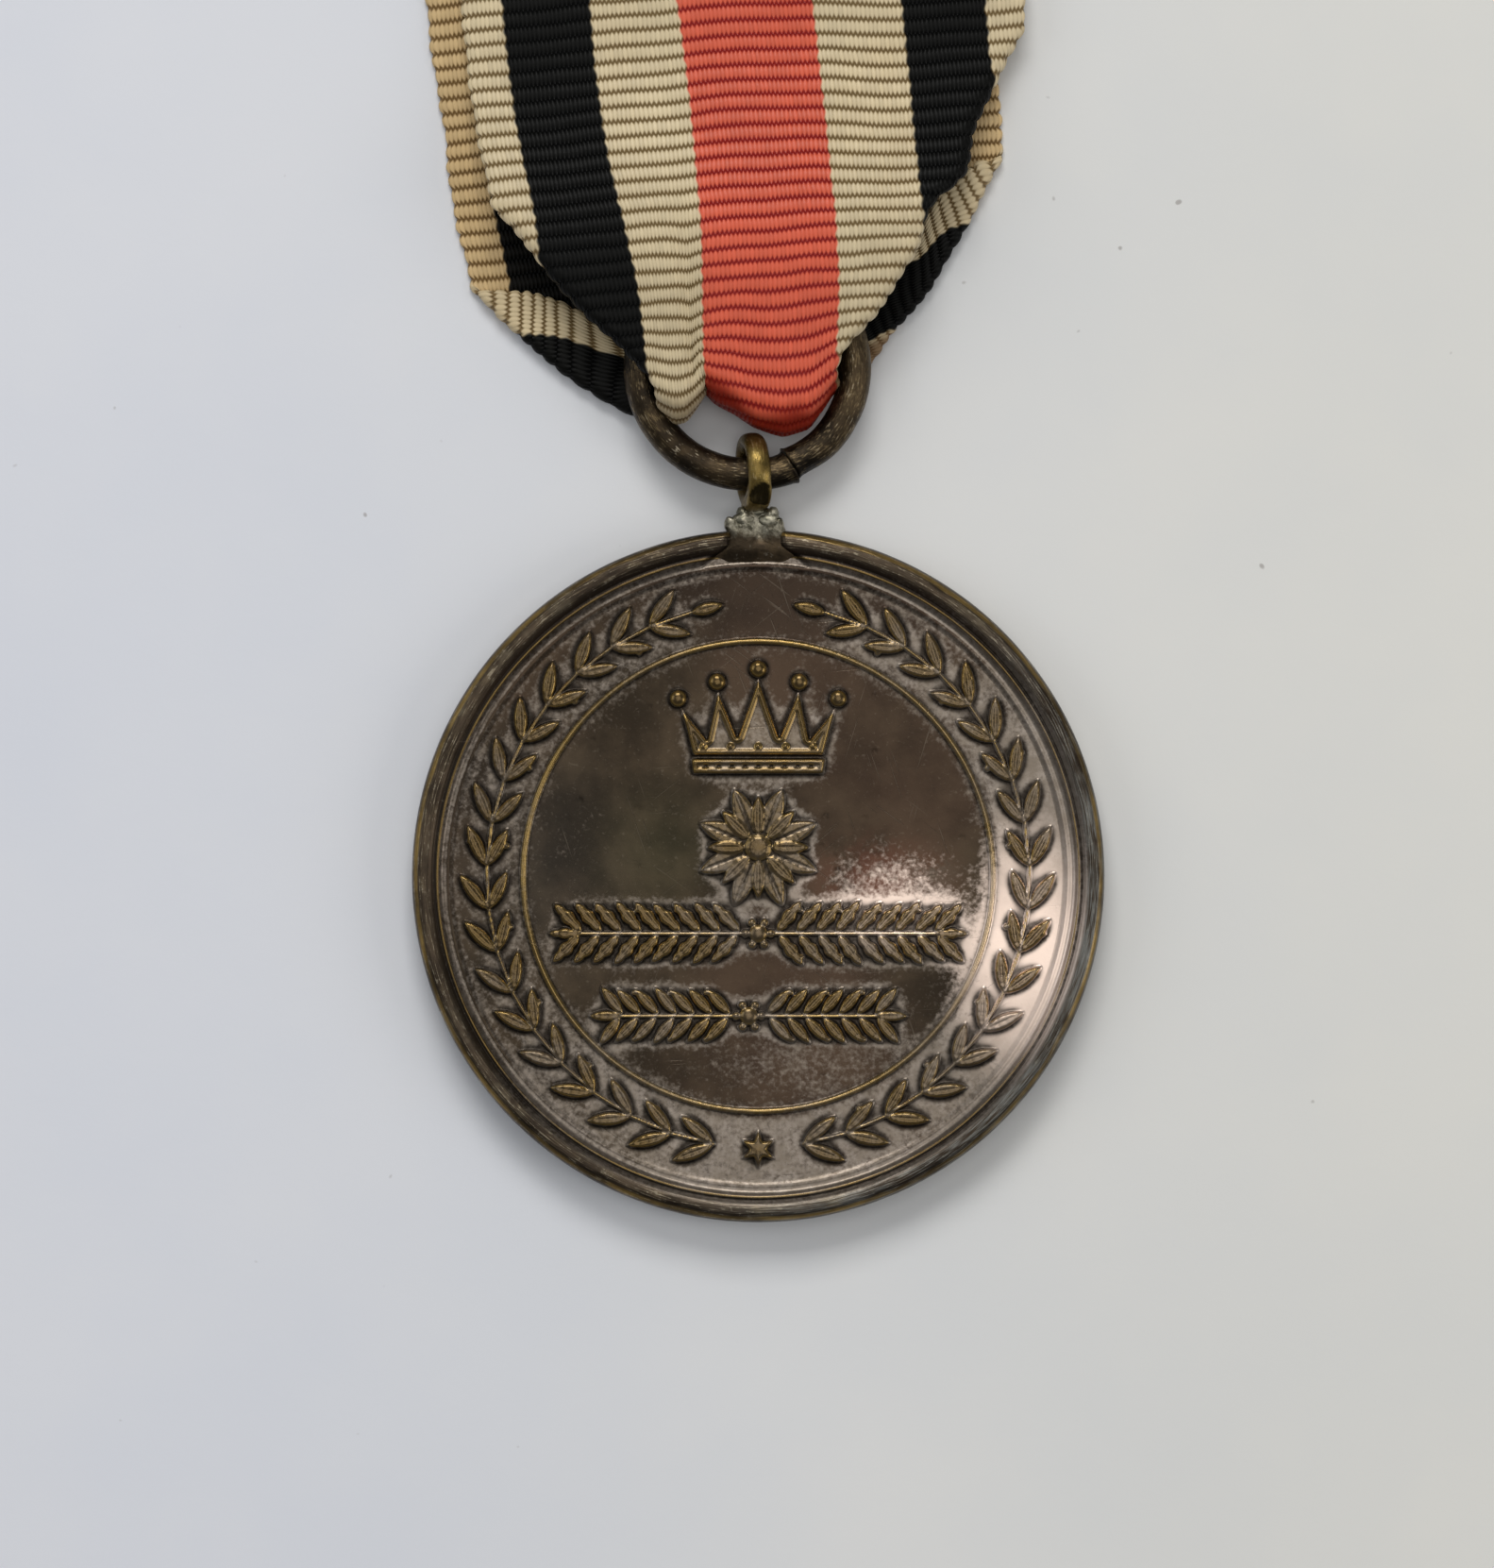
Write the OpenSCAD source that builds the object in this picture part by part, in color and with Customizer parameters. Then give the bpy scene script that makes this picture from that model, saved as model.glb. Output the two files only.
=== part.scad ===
// A struck bronze medal on a split ring, hanging from a folded striped ribbon.
// It lies flat, face up: X to the right, Y up the ribbon, Z out of the face. Millimetres.

/* [Disc] */
// diameter of the disc over its rim
disc_d = 29; // [28:0.5:30]
// thickness of the disc over its two rims
disc_t = 2.2; // [2:0.1:2.4]
// height of the relief above the field
relief_h = 0.2; // [0.12:0.02:0.26]
// radius of the thin raised line round the field
line_r = 9.83; // [9.6:0.01:10]
// number of leaf pairs on each side of the border
leaf_pairs = 13; // [8:1:14]

/* [Eye and ring] */
// outer radius of the eye
eye_r = 1.64; // [1.6:0.01:1.7]
// radial thickness of the eye's wire
eye_wall = 0.67; // [0.6:0.01:0.7]
// width of the eye's wire along its hole
eye_w = 1; // [0.8:0.05:1.2]
// radius to the middle of the split ring's wire
ring_r = 4.49; // [4.4:0.01:4.6]
// thickness of the split ring's wire
ring_wire = 1.38; // [1.3:0.01:1.42]
// angle of the ring's split, counted from straight down towards the right
split_angle = 23; // [20:1:35]
// width of the ring's split
split_w = 0.22; // [0.15:0.01:0.4]

/* [Ribbon] */
// width of the woven ribbon
ribbon_w = 23.6; // [23:0.1:24]
// thickness of the cloth
cloth_t = 0.36; // [0.3:0.02:0.4]
// length of the front layer above the ring's centre
ribbon_l = 34; // [30:0.5:38]
// lean of the ribbon to the left
lean = 6; // [4:0.5:8]
// how far the rear layer stands out to the left of the front one
rear_shift = 1.5; // [1:0.1:1.8]

/* [Hidden] */
$fn = 96;

disc_r = disc_d / 2;
rim_in = disc_r - 1.5;            // inner edge of the raised border
field_z = disc_t - 0.55;          // surface of the face's field
back_z = 0.35;                    // surface of the back's field
lug_w = 2.5;                      // width of the lug
lug_base = disc_r - 1.35;         // where the lug starts, inside the rim
lug_top = disc_r + 0.77;          // top of the lug
mid_z = eye_r;                    // height of the eye's and the ring's middle
eye_x = -0.14;
eye_y = lug_top + eye_r;
ring_x = -0.45;
ring_y = eye_y - 0.1 + ring_r;
wire_r = ring_wire / 2;
strip_x = 1.07;                   // the ribbon's centre line passes here, level with the ring's centre
flex_v = 8.6;                     // distance from the ring's centre to the line where the ribbon flexes
half_w = ribbon_w / 2;
front_z = mid_z + wire_r + 0.14;  // underside of the layer in front of the ring
rear_top = mid_z - wire_r - 0.14; // upper side of the layer behind the ring
// the lowest point, the furthest left corner and the top corner of the ribbon fix the middle of the box
rear_l = ribbon_l + 0.9;
left_x = strip_x - (half_w + rear_shift) * cos(lean) - rear_l * sin(lean);
top_y = ring_y + rear_l * cos(lean) + (half_w - rear_shift) * sin(lean);
off_x = -(left_x + disc_r) / 2;
off_y = -(top_y - disc_r) / 2;

// everything is drawn about the disc's centre, then moved so the origin is under the middle of the box
module place() translate([off_x, off_y, 0]) children();

// the ribbon's own frame: u across it, v along it, from the level of the ring's centre
module strip() translate([strip_x, ring_y, 0]) rotate(lean) children();

// one leaf: two arcs that meet in two points, length l, width w, lying along +Y from its foot
module leaf(l, w, h) {
  r = (l * l / 4 + w * w / 4) / w;
  translate([0, l / 2, 0]) intersection() {
    translate([r - w / 2, 0, 0]) cylinder(r = r, h = h);
    translate([w / 2 - r, 0, 0]) cylinder(r = r, h = h);
  }
}

// a star with n points between radii a and b
module star(n, a, b, h)
  linear_extrude(h) polygon([for (i = [0 : 2 * n - 1])
    let (r = i % 2 == 0 ? a : b) [r * sin(180 * i / n), r * cos(180 * i / n)]]);

// leaves in pairs, rising on both sides from the star at the foot of the border
module border() {
  step = 150 / leaf_pairs;
  for (s = [-1, 1], i = [0 : leaf_pairs - 1])
    rotate(s * (13 + i * step)) translate([0, -11.3, 0]) {
      translate([0, 0.2, 0]) rotate(s * -62) leaf(2.1, 0.8, relief_h);
      translate([0, -0.2, 0]) rotate(s * -118) leaf(2.1, 0.8, relief_h);
    }
  translate([0, -11.4, 0]) star(6, 0.7, 0.36, relief_h);
}

// an open circlet with five points, each tipped with a bead
module circlet() {
  linear_extrude(relief_h) polygon([[-2.6, 4.3], [2.6, 4.3], [3.3, 7.2], [2.1, 5.7], [1.65, 7.9], [0.85, 5.8],
    [0, 8.4], [-0.85, 5.8], [-1.65, 7.9], [-2.1, 5.7], [-3.3, 7.2]]);
  for (p = [[-3.3, 7.45], [-1.65, 8.15], [0, 8.7], [1.65, 8.15], [3.3, 7.45]])
    translate([p[0], p[1], 0]) cylinder(r = 0.36, h = relief_h);
}

// an eight-petalled rosette
module rosette() {
  for (i = [0 : 7]) rotate(45 * i + 22.5) translate([0, 0.75, 0]) leaf(1.85, 0.95, relief_h);
  cylinder(r = 0.62, h = relief_h + 0.04);
}

// a level spray of leaves, reaching l to each side of a bead
module spray(l, n) {
  for (s = [-1, 1]) {
    for (i = [0 : n - 1]) translate([s * (0.9 + i * (l - 2.5) / (n - 1)), 0, 0]) {
      translate([0, 0.02, 0]) rotate(s * -58) leaf(1.7, 0.6, relief_h);
      translate([0, -0.02, 0]) rotate(s * -122) leaf(1.7, 0.6, relief_h);
    }
    translate([s > 0 ? 0.2 : 1.2 - l, -0.08, 0]) cube([l - 1.4, 0.16, relief_h - 0.05]);
  }
  cylinder(r = 0.4, h = relief_h);
}

// the disc's section: back rim, outer edge, face rim, groove, bead, cove and field
module disc_body() rotate_extrude() polygon([
  [0, back_z], [rim_in - 0.6, back_z], [rim_in - 0.2, 0.12], [rim_in, 0], [disc_r - 0.3, 0],
  [disc_r - 0.08, 0.12], [disc_r, 0.4], [disc_r, disc_t - 0.45], [disc_r - 0.06, disc_t - 0.2],
  [disc_r - 0.24, disc_t - 0.04], [disc_r - 0.5, disc_t], [disc_r - 0.8, disc_t - 0.06],
  [disc_r - 0.92, disc_t - 0.22], [disc_r - 1.0, disc_t - 0.24], [disc_r - 1.06, disc_t - 0.12],
  [disc_r - 1.14, disc_t - 0.12], [disc_r - 1.26, disc_t - 0.3], [disc_r - 1.44, disc_t - 0.4],
  [disc_r - 1.52, disc_t - 0.34], [disc_r - 1.6, disc_t - 0.36], [disc_r - 1.72, field_z],
  [line_r + 0.14, field_z], [line_r + 0.06, field_z + 0.09], [line_r - 0.06, field_z + 0.09],
  [line_r - 0.14, field_z], [0, field_z]]);

module medal_disc() color("#6b5a48") place() {
  difference() {
    disc_body();
    translate([eye_x - lug_w / 2, lug_base, -1]) cube([lug_w, 4, disc_t + 2]);
  }
  translate([0, 0, field_z - 0.02]) {
    border();
    circlet();
    translate([0, 1.2, 0]) rosette();
    translate([0, -2.4, 0]) spray(8.8, 7);
    translate([-0.3, -5.8, 0]) spray(6.5, 5);
  }
}

module suspension_lug() color("#a8863f") place() difference() {
  translate([eye_x, 0, 0.2]) linear_extrude(disc_t - 0.3) polygon([
    [-lug_w / 2, lug_base], [lug_w / 2, lug_base], [lug_w / 2, disc_r + 0.1], [1.05, disc_r + 0.35],
    [1.05, lug_top - 0.2], [0.75, lug_top - 0.05], [0.75, lug_top + 0.02], [-0.75, lug_top + 0.02],
    [-0.75, lug_top - 0.05], [-1.05, lug_top - 0.2], [-1.05, disc_r + 0.35], [-lug_w / 2, disc_r + 0.1]]);
  translate([eye_x - 2, eye_y, mid_z]) rotate([0, 90, 0]) cylinder(r = eye_r + 0.01, h = 4);
}

module suspension_loop() color("#c39a4a") place()
  translate([eye_x, eye_y, mid_z]) rotate([0, 90, 0]) rotate_extrude() polygon([
    [eye_r - eye_wall, -eye_w / 2 + 0.16], [eye_r - eye_wall + 0.14, -eye_w / 2], [eye_r - 0.14, -eye_w / 2],
    [eye_r, -eye_w / 2 + 0.16], [eye_r, eye_w / 2 - 0.16], [eye_r - 0.14, eye_w / 2],
    [eye_r - eye_wall + 0.14, eye_w / 2], [eye_r - eye_wall, eye_w / 2 - 0.16]]);

// two small mounds of solder on the lug's shoulders, against the eye
module solder_fillet() color("#8f9280") place() difference() {
  for (s = [-1, 1]) translate([eye_x + s * 0.66, lug_top + 0.02, mid_z - 0.25]) sphere(r = 0.36);
  translate([eye_x - 2, lug_top - 2.98, 0]) cube([4, 3, 4]);
  translate([eye_x - eye_w / 2, eye_y, mid_z]) rotate([0, 90, 0]) cylinder(r = eye_r, h = eye_w);
}

module suspension_ring() color("#6a4a34") place() translate([ring_x, ring_y, mid_z]) difference() {
  rotate_extrude() translate([ring_r, 0, 0]) circle(r = wire_r);
  rotate(split_angle - 90) translate([ring_r, 0, 0]) rotate(12)
    translate([-1.5, -split_w / 2, -1.5]) cube([3, split_w, 3]);
}

module ribbon_front_panel() color("#d9cdb0") place() strip() translate([0, 0, 0.8])
  linear_extrude(cloth_t) polygon([[-half_w + 0.2, flex_v + 1], [half_w - 2.6, flex_v + 1],
    [half_w - 2, flex_v + 2.6], [half_w - 0.4, flex_v + 5.4], [half_w, flex_v + 7],
    [half_w, ribbon_l], [-half_w, ribbon_l], [-half_w, flex_v + 5]]);

module ribbon_rear_panel() color("#c9bb98") place() strip() translate([-rear_shift, 0, 0.04])
  linear_extrude(cloth_t) polygon([[-half_w + 0.1, flex_v + 1], [half_w - 0.6, flex_v + 1], [half_w, flex_v + 5],
    [half_w, rear_l], [-half_w, rear_l], [-half_w, flex_v + 5]]);

// the gathered end: a layer in front of the ring, a layer behind it, and the fold that joins them in the ring
module ribbon_bight() color("#c4483c") place() {
  strip() translate([0, 0, front_z]) linear_extrude(2 * cloth_t) polygon([
    [-11.4, flex_v - 1], [-11.2, 7.4], [-9, 4.2], [-6.6, 1.3], [-5.4, -0.8], [-4.6, -1.4], [-3.4, -0.9],
    [-2, -1.5], [-0.7, -2.2], [0.6, -2.2], [1.6, -1.2], [2.6, -0.2], [4, 1.4], [5.6, 4], [6.6, 6.4], [8, 7],
    [8, flex_v - 1]]);
  strip() translate([0, 0, 0.04]) linear_extrude(rear_top - 0.04) polygon([
    [-13, flex_v - 1], [-12.6, 5], [-10.8, 2.7], [-8.8, 0.3], [-6.7, -1], [-4.6, -1.4], [-3.4, -0.9],
    [-2, -1.5], [-0.7, -2.2], [0.6, -2.2], [1.6, -1.4], [3.6, -0.7], [5.1, 1], [7.1, 3.9], [9.2, 7.2],
    [9.2, flex_v - 1]]);
  intersection() {
    strip() linear_extrude(front_z + 0.2) polygon([[-4.8, 0.4], [-4.6, -1.4], [-3.4, -0.9], [-2, -1.5],
      [-0.7, -2.2], [0.6, -2.2], [1.6, -1.4], [2.6, 0.4]]);
    translate([ring_x, ring_y, 0.3]) cylinder(r = ring_r - wire_r - 0.15, h = front_z);
  }
}

medal_disc();
suspension_lug();
suspension_loop();
solder_fillet();
suspension_ring();
ribbon_front_panel();
ribbon_rear_panel();
ribbon_bight();
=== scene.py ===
import math
import bpy
import numpy as np
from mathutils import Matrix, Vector


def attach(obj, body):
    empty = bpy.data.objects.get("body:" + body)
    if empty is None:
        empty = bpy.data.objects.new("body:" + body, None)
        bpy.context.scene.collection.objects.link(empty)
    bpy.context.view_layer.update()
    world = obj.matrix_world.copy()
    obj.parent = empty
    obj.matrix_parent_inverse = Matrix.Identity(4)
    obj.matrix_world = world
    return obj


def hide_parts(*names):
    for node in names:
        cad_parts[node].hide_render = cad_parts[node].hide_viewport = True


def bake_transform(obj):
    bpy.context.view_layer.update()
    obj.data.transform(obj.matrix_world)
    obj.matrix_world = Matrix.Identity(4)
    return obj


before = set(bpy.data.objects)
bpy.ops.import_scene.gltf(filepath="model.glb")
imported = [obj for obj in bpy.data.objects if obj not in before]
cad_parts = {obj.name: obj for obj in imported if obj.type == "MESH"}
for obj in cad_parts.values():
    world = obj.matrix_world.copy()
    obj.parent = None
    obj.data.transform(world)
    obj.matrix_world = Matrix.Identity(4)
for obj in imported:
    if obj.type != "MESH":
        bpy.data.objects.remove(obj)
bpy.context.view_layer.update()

MM = 0.001
OX, OY = 0.6525, -21.2928          # the disc's centre in the row frame, mm
LEAN = math.radians(6.0)
SX, SY = 1.07, 21.30               # the strip's centre line, level with the ring's centre
RX, RY, RZ = -0.45, 21.30, 1.64    # the ring's centre
EX, EY = -0.14, 16.91              # the eye's centre
rng = np.random.default_rng(11)


# ---------------------------------------------------------------- helpers
def smooth01(t):
    t = np.clip(t, 0, 1)
    return t * t * (3 - 2 * t)


def strip_to_world(x, y):
    c, s = math.cos(LEAN), math.sin(LEAN)
    return SX + x * c - y * s + OX, SY + x * s + y * c + OY


def make_mesh(name, verts_mm, faces, smooth=True, uv=None, attrs=None):
    me = bpy.data.meshes.new(name)
    v = np.asarray(verts_mm, float) * MM
    me.vertices.add(len(v))
    me.vertices.foreach_set("co", v.astype(np.float32).ravel())
    faces = np.asarray(faces, np.int32)
    n, k = faces.shape
    me.loops.add(n * k)
    me.loops.foreach_set("vertex_index", faces.ravel())
    me.polygons.add(n)
    me.polygons.foreach_set("loop_start", np.arange(0, n * k, k, dtype=np.int32))
    me.polygons.foreach_set("loop_total", np.full(n, k, np.int32))
    me.update(calc_edges=True)
    me.validate()
    if uv is not None:
        layer = me.uv_layers.new(name="UVMap")
        idx = np.empty(len(me.loops), np.int32)
        me.loops.foreach_get("vertex_index", idx)
        layer.data.foreach_set("uv", np.asarray(uv, np.float32)[idx].ravel())
    if attrs:
        for key, val in attrs.items():
            a = me.attributes.new(key, "FLOAT", "POINT")
            a.data.foreach_set("value", np.asarray(val, np.float32))
    if smooth:
        me.polygons.foreach_set("use_smooth", np.ones(n, bool))
    ob = bpy.data.objects.new(name, me)
    bpy.context.collection.objects.link(ob)
    return ob


def grid_faces(nr, nc, wrap=False):
    i, j = np.meshgrid(np.arange(nr - 1), np.arange(nc if wrap else nc - 1), indexing="ij")
    j2 = (j + 1) % nc
    return np.stack([i * nc + j, i * nc + j2, (i + 1) * nc + j2, (i + 1) * nc + j], -1).reshape(-1, 4)


def table(a, xs, ys, sig=0.25):
    """A smoothed piecewise-linear table, read at a (0..40)."""
    g = np.arange(-2.0, 42.0, 0.05)
    y = np.interp(g, xs, ys)
    n = int(4 * sig / 0.05)
    k = np.exp(-0.5 * (np.arange(-n, n + 1) * 0.05 / sig) ** 2)
    k /= k.sum()
    y = np.convolve(np.pad(y, n, mode="edge"), k, mode="valid")
    return np.interp(a, g, y)


def box_blur(a, n):
    """box blur of a 2-D array, n cells each way"""
    k = 2 * n + 1
    for ax in (0, 1):
        p = np.pad(a, [(n + 1, n) if i == ax else (0, 0) for i in range(2)], mode="edge")
        c = np.cumsum(p, axis=ax)
        a = (np.take(c, range(k, c.shape[ax]), axis=ax) - np.take(c, range(0, c.shape[ax] - k), axis=ax)) / k
    return a


def fbm(x, y, scale, octaves, seed):
    """smooth value noise on points, roughly -1..1"""
    r = np.random.default_rng(seed)
    out = np.zeros_like(x)
    amp, tot = 1.0, 0.0
    for o in range(octaves):
        g = r.uniform(-1, 1, (64, 64))
        fx, fy = x / scale * 2 ** o + 17.3 * o, y / scale * 2 ** o + 5.1 * o
        ix, iy = np.floor(fx).astype(int), np.floor(fy).astype(int)
        tx, ty = smooth01(fx - ix), smooth01(fy - iy)
        a = g[ix % 64, iy % 64] * (1 - tx) + g[(ix + 1) % 64, iy % 64] * tx
        b = g[ix % 64, (iy + 1) % 64] * (1 - tx) + g[(ix + 1) % 64, (iy + 1) % 64] * tx
        out += amp * (a * (1 - ty) + b * ty)
        tot += amp
        amp *= 0.5
    return out / tot


# ---------------------------------------------------------------- the ribbon's shape
PITCH = 0.64
HALF = 11.8
A_FRONT, A_REAR = 36.6, 37.5


def controls(a, rows):
    """rows: {u: (list of a, list of shift)} -> shift as a function of u for each a."""
    us = sorted(rows)
    return np.array(us), np.stack([table(a, rows[u][0], rows[u][1], 0.4) for u in us], -1)


def side(a, front):
    """Everything a row needs on the front (or rear) half, at distance a from the fold."""
    if front:
        D = controls(a, {
            -11.8: ([0, 3, 6, 8, 9.5, 10.8, 11.7, 14, 16, 40], [0.9, 0.75, 0.55, 0.48, 0.45, 0.42, 0.3, 0.08, 0, 0]),
            -6.45: ([0, 1.5, 3.6, 6, 8.1, 11.7, 15, 18.6, 40], [0.85, 0.85, 0.79, 0.8, 0.59, 0.09, -0.09, -0.05, 0]),
            -2.7: ([0, 1.5, 3.6, 6, 8.1, 11.7, 15, 18.6, 40], [-0.5, -0.5, -0.42, -0.25, -0.05, 0.02, 0.06, -0.05, 0]),
            2.7: ([0, 1.5, 3.6, 6, 8.1, 11.7, 40], [-0.9, -0.7, -0.4, -0.13, -0.03, 0, 0]),
            6.45: ([0, 3.6, 6, 8.1, 12, 18.6, 40], [-0.9, -0.2, -0.1, -0.05, -0.02, 0.05, 0]),
            11.8: ([0, 8, 14, 16, 18, 22, 40], [-0.9, -0.15, -0.25, -0.3, -0.2, 0, 0])})
        uL = table(a, [0, 1.5, 2.5, 3.93, 6.84, 9.0, 10.8, 11.4], [-6.2, -6.25, -6.85, -7.6, -9.65, -10.85, -11.75, -11.8], 0.2)
        uR = table(a, [0, 1.4, 2.05, 2.9, 4.05, 5.6, 6.2, 6.9, 7.8, 8.5, 9.0, 9.6, 10.0, 10.5, 11.4, 12.3, 13, 14, 16, 17.1],
                   [3.2, 2.9, 3.05, 3.65, 4.4, 5.2, 5.55, 6.1, 6.45, 6.6, 6.85, 7.3, 8.0, 8.6, 8.85, 9.05, 9.45, 10.1, 11.4, 11.8], 0.15)
        EL = ([0, 0.8, 1.3, 2.0, 2.8, 3.9, 5, 6.84, 8, 10.8],
              [-4.45, -4.4, -4.35, -4.6, -4.7, -4.9, -6.1, -8.1, -9.1, -11.4],
              [1.5, 2.0, 2.3, 3.3, 4.2, 5.2, 5.9, 6.5, 7.0, 8.2])
        ER = ([0, 1.0, 1.6, 2.2, 3, 4, 5, 6.2, 7.8, 9, 10, 12, 14, 17.1],
              [0.8, 0.9, 1.0, 1.2, 1.5, 1.9, 2.4, 3.1, 4.2, 5.2, 6.5, 7.65, 9.2, 11.6],
              [2.4, 2.7, 3.6, 4.7, 5.7, 6.7, 7.5, 8.4, 9.2, 9.9, 10.8, 12.1, 13.1, 14.5])
        zfn = lambda v: table(v, [0, 1.96, 4, 7, 8.6, 10.5, 13, 16, 20, 26, 40], [3.19, 3.19, 3.25, 3.32, 3.2, 2.75, 2.0, 1.35, 0.95, 0.82, 0.76], 0.6)
        zf = zfn(a)
        zamp = zf - RZ
        r, shift = 0.30, 0.0
    else:
        D = controls(a, {
            -11.8: ([0, 1.53, 2.07, 2.86, 4.2, 6, 7.45, 9.4, 11.5, 14, 17, 40], [2.35, 2.35, 1.8, 1.04, 0.65, 0.6, 0.7, 0.4, 0.2, 0.25, 0.04, 0]),
            -7.5: ([0, 1.53, 2.07, 2.86, 4.2, 6, 9, 12, 40], [2.35, 2.3, 1.8, 1.04, 0.65, 0.5, 0.25, 0.1, 0]),
            -2.7: ([0, 2, 4, 8, 40], [1.0, 0.9, 0.5, 0.05, 0]),
            2.7: ([0, 2, 4, 8, 40], [0.6, 0.55, 0.3, 0.02, 0]),
            6.45: ([0, 2, 4, 8, 40], [0.6, -0.1, 0.05, -0.1, 0]),
            11.8: ([0, 2, 5, 8, 10, 12, 14, 40], [0.6, -0.1, -0.1, -0.22, -0.15, -0.25, -0.1, 0])})
        uL = table(a, [0, 1.0, 1.53, 2.07, 2.86, 4.22, 5.33, 5.95, 7.45, 8.0], [-6.2, -6.9, -7.75, -8.15, -8.55, -9.4, -10.15, -10.75, -11.75, -11.8], 0.15)
        uR = table(a, [0, 1.0, 1.9, 3.2, 3.6, 4.27, 5.27, 6.5, 7.53, 8.38, 9.28, 10.36, 11.26],
                   [3.2, 4.2, 5.4, 6.3, 6.65, 7.2, 8.0, 8.85, 9.65, 10.25, 10.7, 11.3, 11.8], 0.15)
        EL = ([0, 0.9, 1.2, 1.53, 2.07, 2.86, 3.4, 4.22, 5.33, 5.95, 6.6, 7.45],
              [-4.45, -4.7, -5.5, -6.6, -7.6, -8.7, -9.2, -9.9, -10.8, -11.4, -11.95, -12.6],
              [1.5, 1.5, 1.7, 1.95, 2.65, 3.5, 3.85, 4.1, 4.3, 4.42, 4.6, 4.85])
        ER = ([0, 1.0, 1.6, 2.4, 3.2, 4.27, 5.27, 6.5, 7.53, 8.38, 9.28, 10.36, 11.26],
              [0.8, 1.0, 2.0, 3.2, 4.3, 5.3, 6.2, 6.8, 7.4, 8.0, 8.55, 9.3, 10.05],
              [2.4, 2.5, 3.3, 3.9, 4.4, 4.7, 5.1, 6.1, 6.9, 7.15, 7.4, 7.95, 8.66])
        zfn = lambda v: table(v, [0, 3, 8, 40], [0.22, 0.22, 0.2, 0.19], 0.4)
        zf = zfn(a)
        zamp = zf - RZ
        r, shift = 0.215, -1.5
    ya = np.where(a < 1.963, 1.25 * (1 - np.cos(np.minimum(a, 1.963) / 1.25)), a - 0.713)
    turn = np.sin(np.minimum(a / 1.25, math.pi / 2))
    return dict(zfn=zfn, D=D, uL=uL, uR=uR, EL=EL, ER=ER, zamp=zamp, turn=turn, ya=ya, r=r, shift=shift)


YB_U = [-6.2, -5.6, -5.1, -4.5, -3.9, -3.3, -2.95, -2.75, -2.4, -1.56, -0.82, -0.18, 0.43, 1.5, 2.1, 2.6, 3.2]
YB_Y = [-1.05, -1.5, -1.8, -1.75, -1.35, -0.9, -0.62, -0.7, -1.13, -1.69, -2.24, -2.54, -2.77, -2.56, -1.95, -1.35, -0.9]


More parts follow.
